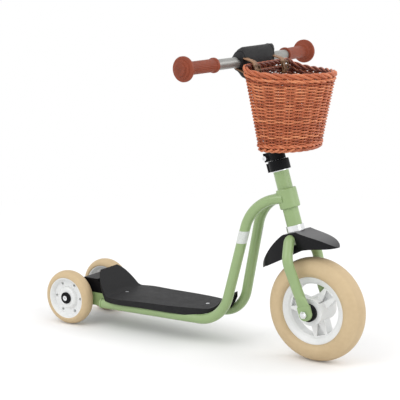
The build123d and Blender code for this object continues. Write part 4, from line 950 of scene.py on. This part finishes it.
# %%
leather, kit, shader, place = material("waxed_leather", (0.33, 0.17, 0.08), 0.5, coat=0.1)
creases = kit.add("TexVoronoi", feature="DISTANCE_TO_EDGE")
kit.set(creases, Vector=place, Scale=900.0)
crease = kit.between(creases.outputs["Distance"], 0.0, 0.2)
value = dusty(kit, place, 60.0)
tone = kit.mix(value, (0.22, 0.1, 0.045, 1), (0.44, 0.25, 0.125, 1))
finish_surface(
    kit, shader, colour=kit.mix(crease, (0.15, 0.065, 0.03, 1), tone),
    roughness=kit.between(value, 0, 1, 0.42, 0.6), normal=kit.bump(crease, 0.25, 0.0003),
)
thread, kit, shader, place = material("waxed_thread", (0.5, 0.38, 0.22), 0.6)
twist = kit.add("TexWave")
kit.set(twist, Vector=place, Scale=600.0)
finish_surface(kit, shader, colour=kit.mix(twist.outputs["Fac"], (0.4, 0.29, 0.16, 1), (0.58, 0.45, 0.28, 1)))


def taut_loop(circles, spacing=0.0018):
    """Evenly spaced points of the taut loop round some circles in the XZ plane."""
    cloud = []
    for x, z, radius in circles:
        for step in range(48):
            turn = 2 * math.pi * step / 48
            cloud.append((x + radius * math.cos(turn), z + radius * math.sin(turn)))
    cloud.sort()
    chains = []
    for order in (cloud, cloud[::-1]):
        chain = []
        for point in order:
            while len(chain) > 1:
                (ax, az), (bx, bz) = chain[-2], chain[-1]
                if (bx - ax) * (point[1] - az) - (bz - az) * (point[0] - ax) > 0:
                    break
                chain.pop()
            chain.append(point)
        chains += chain[:-1]
    points = []
    for number, here in enumerate(chains):
        there = chains[(number + 1) % len(chains)]
        span = math.dist(here, there)
        pieces = max(1, round(span / spacing))
        for part in range(pieces):
            points.append((lerp(here[0], there[0], part / pieces), lerp(here[1], there[1], part / pieces)))
    return points


def band(bm, points, y, half_thick, half_wide):
    """A flat band with eased edges along a closed loop in the XZ plane; returns its outward directions."""
    normals = []
    strip = bmesh.new()
    for number, (x, z) in enumerate(points):
        before = points[number - 1]
        after = points[(number + 1) % len(points)]
        out = Vector((after[1] - before[1], 0, before[0] - after[0])).normalized()
        normals.append(out)
        strip.verts.new(Vector((x, y - half_wide, z)) - out * half_thick)
    strip.verts.ensure_lookup_table()
    for number in range(len(points)):
        strip.edges.new((strip.verts[number - 1], strip.verts[number]))
    made = bmesh.ops.extrude_edge_only(strip, edges=strip.edges)["geom"]
    far_side = [part for part in made if isinstance(part, bmesh.types.BMVert)]
    bmesh.ops.translate(strip, verts=far_side, vec=(0, 2 * half_wide, 0))
    strip.normal_update()
    if strip.faces[:][0].normal.dot(normals[0]) < 0:
        bmesh.ops.reverse_faces(strip, faces=strip.faces)
    bmesh.ops.solidify(strip, geom=strip.faces, thickness=-2 * half_thick)
    sharp = [edge for edge in strip.edges if edge.calc_face_angle(0) > 0.9]
    bmesh.ops.bevel(
        strip, geom=sharp, affect="EDGES", offset=0.6 * half_thick, segments=2, profile=0.5, material=-1,
    )
    carry = bpy.data.meshes.new("band")
    strip.to_mesh(carry)
    strip.free()
    bm.from_mesh(carry)
    bpy.data.meshes.remove(carry)
    return normals


strap_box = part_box("basket_straps")
strap_place = 0.050
strap_half = 0.007
skin = 0.0011
loop = taut_loop([
    (bar_x, bar_z, 0.0103 + skin),
    (rim_back + 0.0045, rim_z - 0.0055, 0.0072 + skin),
    (lerp(foot_back, rim_back, 0.832) + 0.0075, rim_z - 0.024, 0.003 + skin),
])
straps = bmesh.new()
stitches = bmesh.new()
for side in (-1, 1):
    normals = band(straps, loop, side * strap_place, skin, strap_half)
    for number in range(0, len(loop) - 1, 2):
        x, z = loop[number]
        out = normals[number]
        for row in (-1, 1):
            start = Vector((x, side * strap_place + row * (strap_half - 0.0019), z)) + out * (skin + 0.0001)
            nxt = loop[number + 1]
            end = start + Vector((nxt[0] - x, 0, nxt[1] - z)) * 0.9
            path = [start, (start + end) / 2 + out * 0.0001, end]
            strand(stitches, path, [out] * 3, 0.00022, 0.00028, 4, False)
strap_piece = new_piece("leather_straps", straps, leather, "handlebar_unit")
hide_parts("basket_straps")
stitch_piece = new_piece("strap_stitching", stitches, thread, "handlebar_unit")
